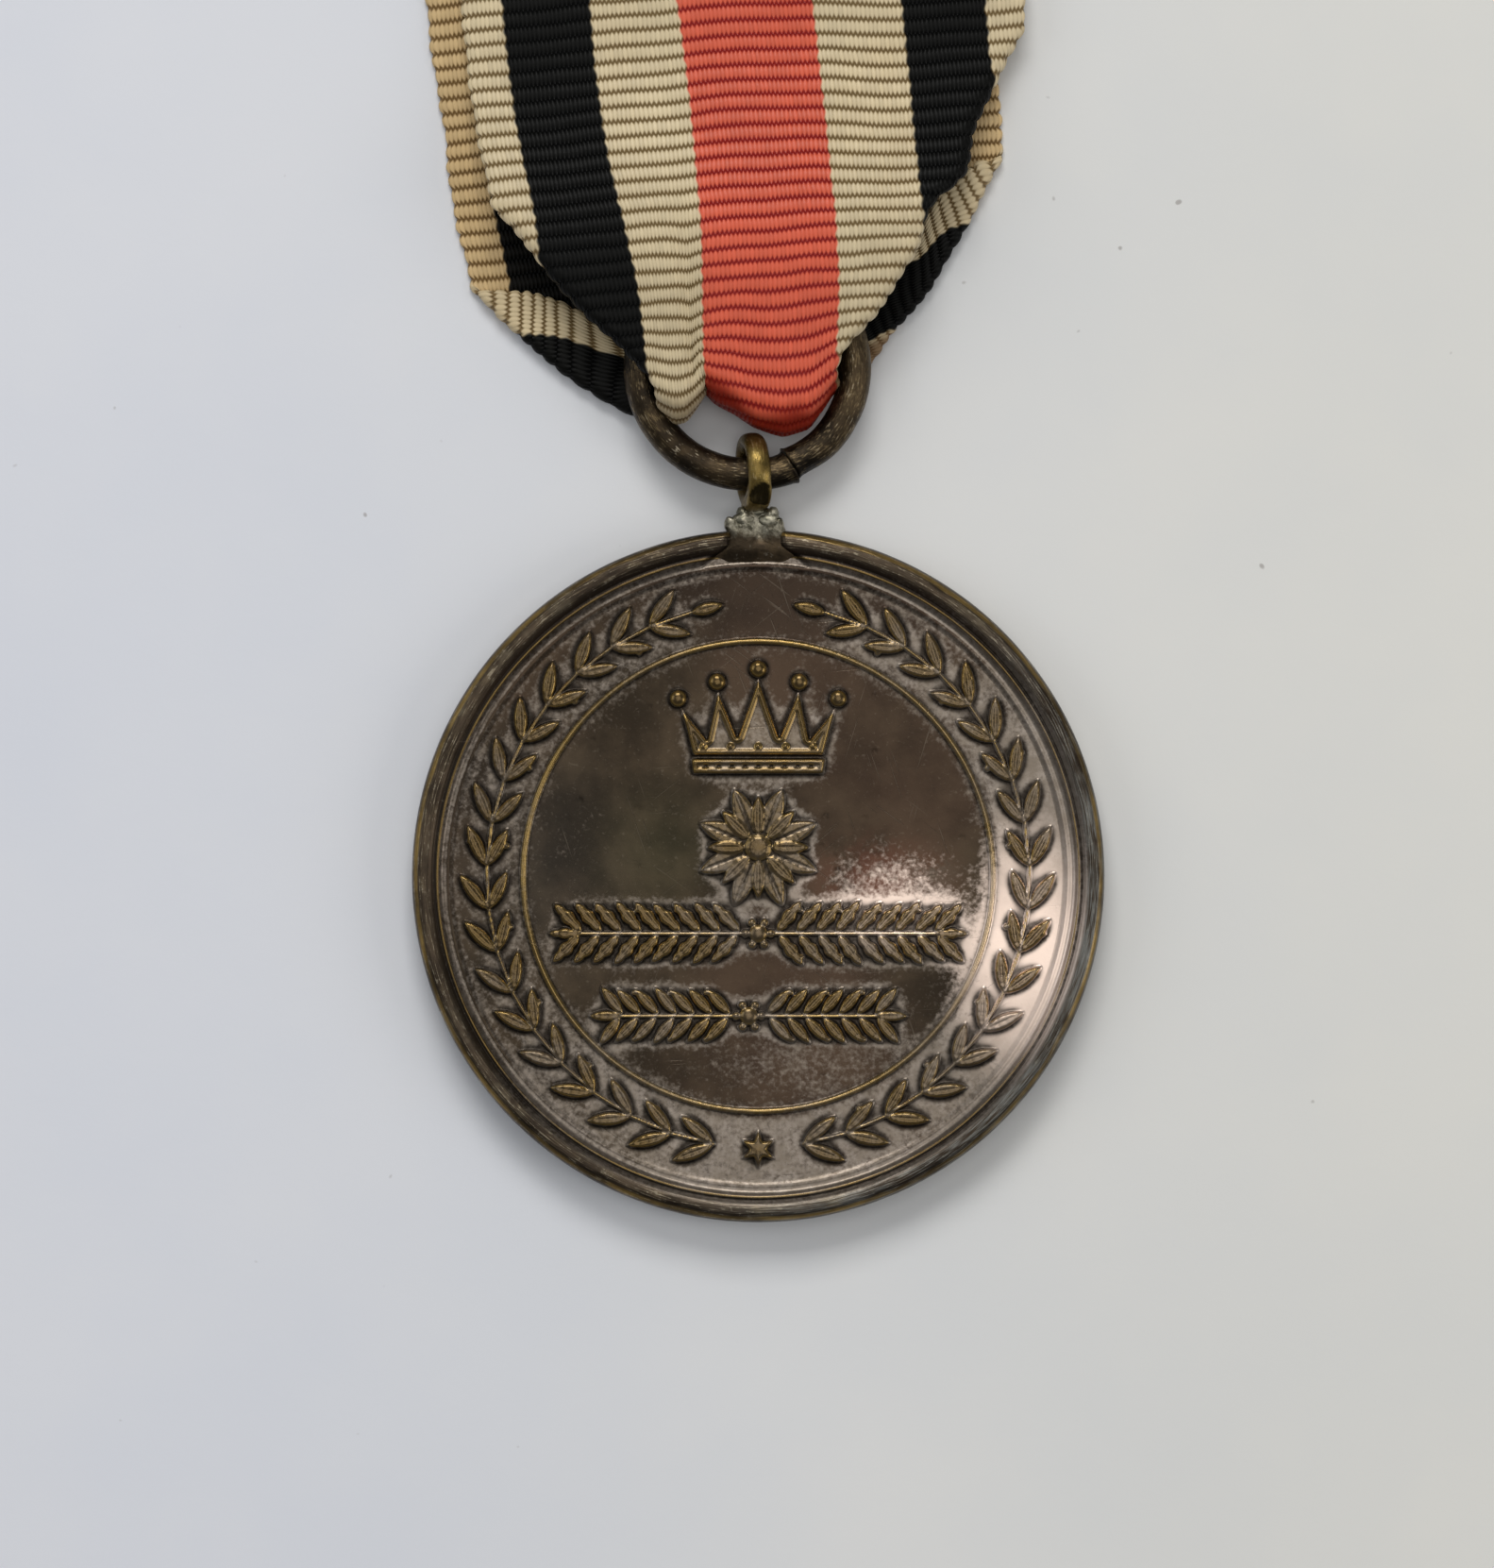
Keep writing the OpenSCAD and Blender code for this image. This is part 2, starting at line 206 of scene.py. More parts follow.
def ribbon_surface():
    # rows
    s_pos = np.concatenate([np.arange(0, 19.2, PITCH / 6), np.arange(19.2, A_FRONT, PITCH / 4.6)])
    s_neg = np.concatenate([np.arange(PITCH / 6, 19.2, PITCH / 6), np.arange(19.2, A_REAR, PITCH / 4.6)])
    s = np.concatenate([-s_neg[::-1], s_pos])
    n_l, n_c, n_r = 15, 48, 16
    P = np.zeros((len(s), n_l + n_c + n_r + 1, 3))
    U = np.zeros(P.shape[:2])
    flapn = np.zeros(P.shape[:2])
    for front in (True, False):
        sel = np.where(s >= 0)[0] if front else np.where(s < 0)[0]
        a = np.abs(s[sel])
        q = side(a, front)
        gL = np.maximum(q["uL"], -HALF + 0.55)
        gR = np.minimum(q["uR"], HALF - 0.55)
        tl = np.linspace(0, 1, n_l + 1)[:-1]
        tl = 1 - (1 - tl) ** 1.35
        tc = np.linspace(-1, 1, n_c + 1)[:-1]
        tc = 0.5 + 0.5 * np.sign(tc) * (1 - (1 - np.abs(tc)) ** 1.5) ** 1.0
        tc = 0.5 * tc + 0.5 * np.linspace(0, 1, n_c + 1)[:-1]
        tr = np.linspace(0, 1, n_r + 1) ** 1.35
        u = np.concatenate([-HALF + (gL[:, None] + HALF) * tl, gL[:, None] + (gR - gL)[:, None] * tc,
                            gR[:, None] + (HALF - gR)[:, None] * tr], 1)
        U[sel] = u
        us, Ds = q["D"]
        dx = np.stack([np.interp(u[k], us, Ds[k]) for k in range(len(sel))])
        # soften the knees of the shift across the cloth
        w = smooth01((a - 1.0) / 5.0)[:, None]
        yb = np.interp(u, YB_U, YB_Y) * (1 - w) - 1.887 * w
        y = q["ya"][:, None] + yb
        y = y - 0.8 * smooth01((u + 1) / 9.0) * smooth01((a[:, None] - 4) / 9) * (1.0 if front else 0.6)
        z = RZ + q["zamp"][:, None] * q["turn"][:, None] * np.ones_like(u)
        x = u + q["shift"] * smooth01(a / 3.0)[:, None] * 0 + q["shift"] + dx
        r = q["r"]
        pos = np.stack([x, y, z], -1)
        for sgn, uc, E in ((-1, q["uL"], q["EL"]), (1, q["uR"], q["ER"])):
            M = HALF + sgn * -uc                       # cloth beyond the crease
            M = np.maximum(M, 1e-4)
            amt = smooth01(M / 0.9)[:, None]           # how far this row is folded at all
            flat = smooth01(a / 2.0)[:, None]
            rz = r * amt * flat * (1 if front else -1)
            d = (uc[:, None] - u) * sgn                # >0 inside, <0 on the flap
            xc = np.array([np.interp(uc[k], us, Ds[k]) for k in range(len(sel))]) + uc + q["shift"]
            yc = np.array([np.interp(uc[k], YB_U, YB_Y) for k in range(len(sel))]) * (1 - w[:, 0]) - 1.887 * w[:, 0] + q["ya"]
            yc = yc - 0.8 * smooth01((uc + 1) / 9.0) * smooth01((a - 4) / 9) * (1.0 if front else 0.6)
            Ex, Ey = table(a, E[0], E[1], 0.2), table(a, E[0], E[2], 0.2)
            sag = np.zeros_like(a)
            if not front and sgn < 0:                  # the rear fold hangs lower beside the ring
                sag = table(a, [0, 0.6, 1.0, 1.5, 2.1, 2.7, 3.4, 4.2, 6], [0, -0.3, -0.68, -0.74, -0.56, -0.38, -0.2, -0.05, 0], 0.2)
                yc = yc + sag
            def inset(t):
                th = np.clip(t / r, 0, math.pi / 2)
                return np.where(t < r * math.pi / 2, r * (1 - np.cos(th)), t - (math.pi / 2 - 1) * r)
            inside = d >= 0
            # centre side: the surface bends down towards the crease
            e = (inset(np.maximum(d, 0)) - np.maximum(d, 0) + (math.pi / 2 - 1) * r) * amt
            pos[..., 0] = np.where(inside, pos[..., 0] - sgn * e, pos[..., 0])
            pos[..., 2] = np.where(inside, pos[..., 2] - rz * (1 - np.sin(np.clip(d / r, 0, math.pi / 2))), pos[..., 2])
            pos[..., 1] = np.where(inside, pos[..., 1] + sag[:, None] * (1 - smooth01(d / 2.0)), pos[..., 1])
            # flap side
            f = np.maximum(-d, 0)
            m = inset(np.maximum(M, 0.05))[:, None]
            g = inset(f) / m
            g = g - sag[:, None] * 0.7 * g * (1 - g)
            cx = (xc - sgn * (math.pi / 2 - 1) * r * amt[:, 0])[:, None]
            fx = cx + (Ex[:, None] - cx) * g
            fy = yc[:, None] + (Ey - yc)[:, None] * g
            # at rows that aren't folded, the flap is just the rest of the row
            fx = fx * amt + x * (1 - amt)
            fy = fy * amt + y * (1 - amt)
            if front:                                  # the flap lies under the cloth that is above it
                a_eff = np.maximum(a[:, None], a[:, None] + (fy - yc[:, None]))
                ga = np.arange(0, 40, 0.05)
                zz = np.interp(a_eff, ga, q["zfn"](ga))
                fz = np.where(a[:, None] > 2.0, zz, z) - rz - rz * np.sin(np.clip(f / r, 0, math.pi / 2))
            else:
                fz = z - rz - rz * np.sin(np.clip(f / r, 0, math.pi / 2))
            pos[..., 0] = np.where(inside, pos[..., 0], fx)
            pos[..., 1] = np.where(inside, pos[..., 1], fy)
            pos[..., 2] = np.where(inside, pos[..., 2], fz)
            flapn[sel] = np.where(inside, flapn[sel], 1)
        P[sel] = pos
    # light smoothing along the cloth removes the tables' kinks
    k = np.array([1, 4, 6, 4, 1], float)
    k /= k.sum()
    for _ in range(2):
        Q = np.pad(P, ((2, 2), (0, 0), (0, 0)), mode="edge")
        S = sum(k[i] * Q[i:i + len(P)] for i in range(5))
        S[:2], S[-2:] = P[:2], P[-2:]
        P = S
    return s, U, P, flapn


def build_ribbon():
    s, U, P, flapn = ribbon_surface()
    nr, nc = U.shape
    # the ribs stay nearly straight where the fold's edge runs across them
    q = s[:, None] + 0.5 * (np.interp(U, YB_U, YB_Y) + 1.887) * (1 - smooth01((np.abs(s)[:, None] - 1.0) / 5.0))
    low = np.exp(-(np.abs(s[:, None]) / 7.0) ** 2)
    q = q + (0.055 + 0.10 * low) * fbm(U, s[:, None] + 0 * U, 1.7, 2, 61) + 0.03 * np.sin(U * 1.3 + 0.5)
    crease = np.exp(-((U + 3.55) / 0.5) ** 2) * smooth01((s[:, None] - 0.6) / 1.5) * smooth01((11 - s[:, None]) / 5)
    q = q + 0.16 * crease + 0.10 * np.exp(-((U - 3.3) / 0.6) ** 2) * low
    P[..., 2] -= 0.30 * crease
    P[..., 2] += 0.06 * low * np.sin(U * 2.1 + 0.4) * smooth01((s[:, None] - 1) / 2)
    # gentle unevenness of aged cloth
    wav = 0.05 * np.sin(U * 0.9 + s[:, None] * 0.35) * np.sin(s[:, None] * 0.21 + 1.0) * smooth01((np.abs(s)[:, None] - 6) / 6)
    P[..., 2] += np.where(s[:, None] > 0, wav + 0.02, 0)
    # scalloped selvedges
    ph = np.abs(np.sin(math.pi * q / PITCH))
    every = 0.75 + 0.25 * np.sin(math.pi * q / PITCH / 2 + 0.7)
    sc = (0.19 * ph ** 0.6 * every - 0.05) * smooth01((np.abs(U) - 11.15) / 0.65)
    du = np.gradient(P, axis=1)
    du /= np.linalg.norm(du, axis=2, keepdims=True) + 1e-9
    P = P + du * (sc * np.sign(U))[..., None]
    ds = np.gradient(P, axis=0)
    du = np.gradient(P, axis=1)
    n = np.cross(du, ds)
    n /= np.linalg.norm(n, axis=2, keepdims=True) + 1e-12
    # smooth normals a little along the cloth
    for _ in range(2):
        n[1:-1] = 0.25 * n[:-2] + 0.5 * n[1:-1] + 0.25 * n[2:]
        n /= np.linalg.norm(n, axis=2, keepdims=True) + 1e-12
    rib = np.abs(np.sin(math.pi * q / PITCH))
    h = 0.075 + 0.105 * rib ** 0.75 + 0.012 * fbm(U, s[:, None] + 0 * U, 0.8, 2, 62)
    edge = np.clip((HALF - np.abs(U)) / 0.22, 0, 1)
    h = h * np.sqrt(np.clip(1 - (1 - edge) ** 2, 0.02, 1))
    h[0] *= 0.6
    h[-1] *= 0.6
    top, bot = P + n * h[..., None], P - n * h[..., None]
    allv = np.concatenate([top.reshape(-1, 3), bot.reshape(-1, 3)])
    N = nr * nc
    ft = grid_faces(nr, nc)
    fb = ft[:, ::-1] + N
    i = np.arange(nr - 1)
    left = np.stack([i * nc, (i + 1) * nc, (i + 1) * nc + N, i * nc + N], -1)
    right = np.stack([i * nc + nc - 1, i * nc + nc - 1 + N, (i + 1) * nc + nc - 1 + N, (i + 1) * nc + nc - 1], -1)
    j = np.arange(nc - 1)
    low = np.stack([j, j + N, j + 1 + N, j + 1], -1)
    high = np.stack([(nr - 1) * nc + j, (nr - 1) * nc + j + 1, (nr - 1) * nc + j + 1 + N, (nr - 1) * nc + j + N], -1)
    faces = np.concatenate([ft, fb, left, right, low, high])
    X, Y = strip_to_world(allv[:, 0], allv[:, 1])
    V = np.stack([X, Y, np.maximum(allv[:, 2], 0.01)], -1)
    uv = np.stack([U / 24 + 0.5, q / 80 + 0.5], -1).reshape(-1, 2)
    # mask for painted warm shade: full on the layer behind, faint on the folded flaps
    rear_shade = np.where(s[:, None] < 0, 1 - 0.85 * flapn, 0.15 * flapn)
    # turn: mask for the painted shade at the bottom of the fold, where the cloth turns under round the ring
    turn = smooth01((1.75 + 0.3 * np.sin(U * 2.2) - s[:, None]) / 0.8) * smooth01((s[:, None] + 6) / 2) * smooth01((6.6 - np.abs(U)) / 0.6)
    turn = turn * np.where(U < -2.8, 0.4, 1.0)
    ob = make_mesh("ribbon", V, faces, uv=np.concatenate([uv, uv]),
                   attrs={"rear_shade": np.tile(rear_shade.ravel(), 2), "turn": np.tile(turn.ravel(), 2)})
    return ob


ribbon = build_ribbon()
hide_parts("ribbon_front_panel", "ribbon_rear_panel", "ribbon_bight")


# ---------------------------------------------------------------- the struck face: height map, mm
def seg(x, y, ax, ay, bx, by):
    """distance to a segment and position along it"""
    dx, dy = bx - ax, by - ay
    L2 = dx * dx + dy * dy + 1e-12
    t = np.clip(((x - ax) * dx + (y - ay) * dy) / L2, 0, 1)
    return np.hypot(x - ax - t * dx, y - ay - t * dy), t


class Relief:
    """Collects raised shapes on a set of points."""

    def __init__(self, x, y):
        self.x, self.y = x, y
        self.h = np.zeros_like(x)

    def _near(self, cx, cy, rad):
        return np.where((np.abs(self.x - cx) < rad) & (np.abs(self.y - cy) < rad))

    def leaf(self, fx, fy, ang, L, W, H, lobes=0, vein=0.045):
        a = math.radians(ang)
        ux, uy = math.cos(a), math.sin(a)
        k = self._near(fx + ux * L / 2, fy + uy * L / 2, L * 0.75)
        x, y = self.x[k] - fx, self.y[k] - fy
        t = (x * ux + y * uy) / L
        q = -x * uy + y * ux
        tt = np.clip(t, 0, 1)
        w = W / 2 * np.sin(math.pi * tt ** 0.9) ** 0.75
        if lobes:
            w = w * (0.80 + 0.26 * np.abs(np.sin(math.pi * lobes * tt)) )
        w = np.maximum(w, 1e-6)
        e = (w - np.abs(q)) * (t > 0) * (t < 1)
        rise = smooth01(e / 0.13)
        dome = np.sqrt(np.clip(1 - (q / (w + 0.03)) ** 2, 0, 1))
        h = H * rise * (0.62 + 0.38 * dome)
        h -= vein * np.exp(-(q / 0.055) ** 2) * rise
        side = np.abs(np.sin(math.pi * (t * L / 0.34 - np.abs(q) * 1.1)))
        h -= 0.02 * rise * (1 - side) ** 2
        self.h[k] = np.maximum(self.h[k], np.where(e > 0, h, 0))

    def bead(self, cx, cy, r, H):
        k = self._near(cx, cy, r * 1.2)
        d = np.hypot(self.x[k] - cx, self.y[k] - cy)
        self.h[k] = np.maximum(self.h[k], H * np.sqrt(np.clip(1 - (d / r) ** 2, 0, 1)) ** 0.8)

    def line(self, pts, w, H, round_top=True):
        for (a, b) in zip(pts[:-1], pts[1:]):
            cx, cy = (a[0] + b[0]) / 2, (a[1] + b[1]) / 2
            k = self._near(cx, cy, math.hypot(b[0] - a[0], b[1] - a[1]) / 2 + w)
            d, _ = seg(self.x[k], self.y[k], a[0], a[1], b[0], b[1])
            p = np.clip(1 - d / (w / 2), 0, 1)
            h = H * (smooth01(p * 1.6) if round_top else smooth01(p * 2.2))
            self.h[k] = np.maximum(self.h[k], h)

    def poly(self, pts, H, bevel=0.14, dome=0.0, sunk=0.0):
        p = np.array(pts, float)
        lo, hi = p.min(0) - 0.2, p.max(0) + 0.2
        k = np.where((self.x > lo[0]) & (self.x < hi[0]) & (self.y > lo[1]) & (self.y < hi[1]))
        x, y = self.x[k], self.y[k]
        inside = np.zeros(x.shape, bool)
        d = np.full(x.shape, 9.0)
        n = len(p)
        for i in range(n):
            a, b = p[i], p[(i + 1) % n]
            c = ((a[1] > y) != (b[1] > y)) & (x < (b[0] - a[0]) * (y - a[1]) / (b[1] - a[1] + 1e-12) + a[0])
            inside ^= c
            d = np.minimum(d, seg(x, y, a[0], a[1], b[0], b[1])[0])
        h = np.where(inside, H * smooth01(d / bevel) + dome * smooth01(d / 0.5) - sunk * smooth01((d - 0.2) / 0.14), 0)
        self.h[k] = np.maximum(self.h[k], h)


def star_pts(cx, cy, n, a, b, rot=0.0):
    return [(cx + (a if i % 2 == 0 else b) * math.sin(math.pi * i / n + rot),
             cy + (a if i % 2 == 0 else b) * math.cos(math.pi * i / n + rot)) for i in range(2 * n)]


def draw_face(R):
    H = 0.21
    # border: two laurel branches that rise from a small star
    pairs = 17
    step = 156.0 / pairs
    for sgn in (-1, 1):
        stem = []
        for i in range(pairs + 1):
            t = math.radians(-90 + sgn * (9.5 + i * step))
            stem.append((11.36 * math.cos(t), 11.36 * math.sin(t)))
            if i == pairs:
                break
            ang = -90 + sgn * (9.5 + i * step)
            tan = ang + sgn * 90
            jit = rng.normal(0, 2.0)
            c, s_ = math.cos(math.radians(ang)), math.sin(math.radians(ang))
            R.leaf(11.40 * c, 11.40 * s_, tan - sgn * (30 + jit), 1.95, 0.68, H)
            R.leaf(11.32 * c, 11.32 * s_, tan + sgn * (30 + jit), 1.85, 0.64, H)
            t2 = math.radians(ang + sgn * step * 0.52)
            if i % 2:
                R.bead(12.15 * math.cos(t2), 12.15 * math.sin(t2), 0.15, 0.15)
                R.bead(10.60 * math.cos(t2), 10.60 * math.sin(t2), 0.15, 0.15)
        R.line(stem, 0.17, 0.15)
        t = math.radians(-90 + sgn * (9.5 + pairs * step))
        R.leaf(11.36 * math.cos(t), 11.36 * math.sin(t), -90 + sgn * (9.5 + pairs * step) + sgn * 90, 1.5, 0.62, H)
    R.poly(star_pts(0.0, -11.42, 6, 0.88, 0.43), H, 0.12, 0.05)
    # an open circlet with five points
    R.poly([(-2.75, 4.25), (2.75, 4.25), (2.85, 4.95), (-2.85, 4.95)], 0.2, 0.12, sunk=0.07)
    R.poly([(-2.75, 5.02), (2.75, 5.02), (3.3, 7.15), (2.15, 5.75), (1.7, 7.85), (0.88, 5.85), (0, 8.35),
            (-0.88, 5.85), (-1.7, 7.85), (-2.15, 5.75), (-3.3, 7.15)], 0.2, 0.13, 0.0, sunk=0.09)
    for i in range(9):
        k = R._near(-2.2 + i * 0.55, 4.6, 0.2)
        d = np.hypot(R.x[k] + 2.2 - i * 0.55, R.y[k] - 4.6)
        R.h[k] -= 0.09 * smooth01(1 - d / 0.17)
    for (x, y) in ((-3.35, 7.42), (-1.72, 8.12), (0, 8.66), (1.72, 8.12), (3.35, 7.42)):
        R.bead(x, y, 0.36, 0.26)
    for (x, y) in ((-2.3, 5.42), (-1.15, 5.42), (0, 5.42), (1.15, 5.42), (2.3, 5.42)):
        R.bead(x, y, 0.17, 0.26)
    # rosette with two rows of petals
    for i in range(8):
        a = 90 + 45 * i + 22.5
        c, s_ = math.cos(math.radians(a)), math.sin(math.radians(a))
        R.leaf(0.5 * c, 1.2 + 0.5 * s_, a, 2.2, 1.0, 0.17, vein=0.06)
    for i in range(8):
        a = 90 + 45 * i
        c, s_ = math.cos(math.radians(a)), math.sin(math.radians(a))
        R.leaf(0.45 * c, 1.2 + 0.45 * s_, a, 1.75, 0.72, 0.23, vein=0.05)
    R.bead(0, 1.2, 0.62, 0.3)
    for i in range(10):
        a = 2 * math.pi * i / 10
        k = R._near(0.36 * math.cos(a), 1.2 + 0.36 * math.sin(a), 0.12)
        d = np.hypot(R.x[k] - 0.36 * math.cos(a), R.y[k] - 1.2 - 0.36 * math.sin(a))
        R.h[k] += 0.03 * smooth01(1 - d / 0.1)
    # two level sprays
    for (cx, cy, l, n, L, W, lob) in ((0.0, -2.4, 8.8, 9, 1.75, 0.66, 3), (-0.4, -5.85, 6.7, 7, 1.55, 0.6, 0)):
        for sgn in (-1, 1):
            for i in range(n):
                x = cx + sgn * (0.75 + i * (l - 2.2) / (n - 1))
                up = 90 - sgn * (90 - 48 + rng.normal(0, 2.5))
                R.leaf(x, cy + 0.05, up, L, W, 0.2, lobes=lob)
                R.leaf(x + sgn * 0.1, cy - 0.05, -up, L * 0.97, W, 0.2, lobes=lob)
                if i % 2 == 0 and i < n - 1:
                    R.bead(x + sgn * 1.02, cy + 0.98, 0.13, 0.15)
                    R.bead(x + sgn * 1.05, cy - 0.98, 0.13, 0.15)
            R.leaf(cx + sgn * (l - 1.45), cy, 90 - sgn * 90, 1.5, 0.55, 0.2, lobes=lob)
            R.line([(cx, cy), (cx + sgn * (l - 1.2), cy)], 0.17, 0.14)
        R.bead(cx, cy, 0.4, 0.25)
        for k6 in range(6):
            a = math.pi / 3 * k6
            R.bead(cx + 0.52 * math.cos(a), cy + 0.52 * math.sin(a), 0.18, 0.17)


FIELD_Z = 1.78
FACE_R = 12.72


def face_heights(x, y):
    R = Relief(x, y)
    draw_face(R)
    r = np.hypot(x, y)
    ring_line = 0.12 * np.sqrt(np.clip(1 - ((r - 9.83) / 0.12) ** 2, 0, 1))
    return np.maximum(R.h, ring_line)


def build_face():
    """the struck face, as a middle and a border mesh that share their seam's vertices"""
    st = 0.0555
    n = int(FACE_R / st) + 2
    g = np.arange(-n, n + 1) * st
    X, Y = np.meshgrid(g, g, indexing="xy")
    h = face_heights(X.ravel(), Y.ravel()).reshape(X.shape)
    soft = box_blur(h, 1)
    h = 0.6 * h + 0.4 * soft
    near = box_blur(box_blur(h, 4), 4)
    halo = box_blur(box_blur((h > 0.05).astype(float), 8), 8)
    gx, gy = np.gradient(h, st)
    slope = np.hypot(gx, gy)
    z = FIELD_Z + h + 0.012 * fbm(X, Y, 3.0, 3, 5) + 0.004 * fbm(X, Y, 0.5, 2, 6)
    # pits and knocks
    for _ in range(70):
        a, rr = rng.uniform(0, 2 * math.pi), FACE_R * math.sqrt(rng.uniform(0, 1))
        cx, cy, w, dep = rr * math.cos(a), rr * math.sin(a), rng.uniform(0.07, 0.16), rng.uniform(0.008, 0.03)
        k = np.where((np.abs(X - cx) < 3 * w) & (np.abs(Y - cy) < 3 * w))
        z[k] -= dep * np.exp(-((X[k] - cx) ** 2 + (Y[k] - cy) ** 2) / w ** 2)
    R = np.hypot(X, Y)
    inside = R < FACE_R
    cells = inside[:-1, :-1] | inside[1:, :-1] | inside[:-1, 1:] | inside[1:, 1:]
    mid = R[:-1, :-1] < 9.45
    sc = np.where(R > FACE_R, FACE_R / np.maximum(R, 1e-6), 1.0)
    zz = np.where(R > FACE_R - 0.15, FIELD_Z, z)
    made = []
    for name, keep in (("disc_face", cells & mid), ("disc_border", cells & ~mid)):
        used = np.zeros_like(inside)
        used[:-1, :-1] |= keep
        used[1:, :-1] |= keep
        used[:-1, 1:] |= keep
        used[1:, 1:] |= keep
        idx = np.full(X.shape, -1)
        idx[used] = np.arange(used.sum())
        f = np.stack([idx[:-1, :-1], idx[:-1, 1:], idx[1:, 1:], idx[1:, :-1]], -1)[keep]
        V = np.stack([(X * sc)[used] + OX, (Y * sc)[used] + OY, zz[used]], -1)
        attrs = {"relief": np.clip(h[used] / 0.22, 0, 1.3), "halo": np.clip(halo[used], 0, 1),
                 "slope": np.clip(slope[used], 0, 2), "cavity": np.clip((near - h)[used] / 0.1, -1, 1)}
        made.append(make_mesh(name, V, f, attrs=attrs))
    return made


# the section of the disc outside the field: (radius, height), face to back
SECTION = [(FACE_R, FIELD_Z), (12.80, 1.782), (12.87, 1.81), (12.93, 1.865), (12.98, 1.872), (13.03, 1.84), (13.10, 1.815),
           (13.18, 1.83), (13.26, 1.88), (13.33, 1.96), (13.38, 2.04), (13.42, 2.065), (13.46, 2.05), (13.50, 1.985),
           (13.53, 1.95), (13.57, 1.955), (13.61, 2.02), (13.66, 2.085), (13.74, 2.135), (13.86, 2.17), (14.0, 2.185),
           (14.12, 2.18), (14.24, 2.145), (14.34, 2.08), (14.42, 1.98), (14.465, 1.86), (14.485, 1.72), (14.49, 1.5), (14.492, 1.3),
           (14.492, 1.1), (14.492, 0.9), (14.49, 0.7), (14.485, 0.5), (14.465, 0.34), (14.42, 0.2), (14.34, 0.1), (14.24, 0.04),
           (14.12, 0.012), (14.0, 0.005), (13.86, 0.012), (13.74, 0.03), (13.64, 0.07), (13.56, 0.15), (13.48, 0.24), (13.38, 0.28),
           (13.26, 0.30), (13.1, 0.315), (12.9, 0.325), (12.6, 0.33)]


def build_body():
    prof = np.array(SECTION)
    # finer spacing along the section
    seglen = np.hypot(*np.diff(prof, axis=0).T)
    cum = np.concatenate([[0], np.cumsum(seglen)])
    m = 86
    t = np.linspace(0, cum[-1], m)
    pr, pz = np.interp(t, cum, prof[:, 0]), np.interp(t, cum, prof[:, 1])
    for _ in range(2):
        pr[1:-1] = 0.25 * pr[:-2] + 0.5 * pr[1:-1] + 0.25 * pr[2:]
        pz[1:-1] = 0.25 * pz[:-2] + 0.5 * pz[1:-1] + 0.25 * pz[2:]
    na = 760
    th = np.arange(na) * 2 * math.pi / na
    Rr = np.repeat(pr[:, None], na, 1)
    Z = np.repeat(pz[:, None], na, 1)
    TH = np.repeat(th[None], m, 0)
    X, Y = Rr * np.cos(TH), Rr * np.sin(TH)
    front = np.repeat((np.arange(m) < m * 0.55)[:, None], na, 1)
    # rim waviness, knocks
    wave = 0.007 * fbm(TH * 9, Z * 0 + 3.3, 1.0, 3, 8)
    Rr2 = Rr + wave * smooth01((Rr - 13.6) / 0.6)
    Z = Z + 0.014 * fbm(X, Y, 1.6, 3, 9) * (Rr > 12.8)
    for _ in range(60):
        a = rng.uniform(0, 2 * math.pi)
        w = rng.uniform(0.015, 0.05)
        dep = rng.uniform(0.01, 0.035)
        up = rng.uniform() < 0.7
        d = np.angle(np.exp(1j * (TH - a)))
        g = np.exp(-(d * 14.4 / (w * 14.4 + 0.12)) ** 2) * np.exp(-((Rr - 14.3) / 0.25) ** 2) * np.exp(-((Z - (2.1 if up else 0.2)) / 0.3) ** 2)
        Rr2 -= dep * g
        Z -= (dep * 0.6 * g) * (1 if up else -1)
    X, Y = Rr2 * np.cos(TH), Rr2 * np.sin(TH)
    # the rim stops on both sides of the lug
    half = 1.22 + 1.15 * smooth01((13.95 - Rr) / 0.85)
    gap = smooth01((half - np.abs(X - EX)) / 0.26) * (Y > 0) * smooth01((Rr - 13.0) / 0.10)
    Z = np.where(front, Z - gap * np.maximum(Z - 1.74, 0), Z)
    V = np.stack([X + OX, Y + OY, np.clip(Z, 0.004, 2.2)], -1).reshape(-1, 3)
    k = np.arange(na)
    f = grid_faces(m, na, wrap=True)[:, ::-1]
    bead = np.exp(-((Rr - 13.42) / 0.07) ** 2) * front
    outer = smooth01((Rr - 13.6) / 0.3)
    groove = np.exp(-((Rr - 13.54) / 0.05) ** 2) * front
    edge = np.exp(-((Rr - 14.33) / 0.12) ** 2)
    cove = smooth01((Rr - 13.0) / 0.1) * smooth01((13.4 - Rr) / 0.1) * front
    return make_mesh("disc_rim", V, f, attrs={
        "relief": (bead * 0.9 + 0.35 * edge).ravel(), "halo": (cove * 0.7).ravel(), "slope": (edge * 0.8 + bead * 0.6).ravel(),
        "cavity": (groove - 0.5 * edge).ravel(), "rim": outer.ravel()})


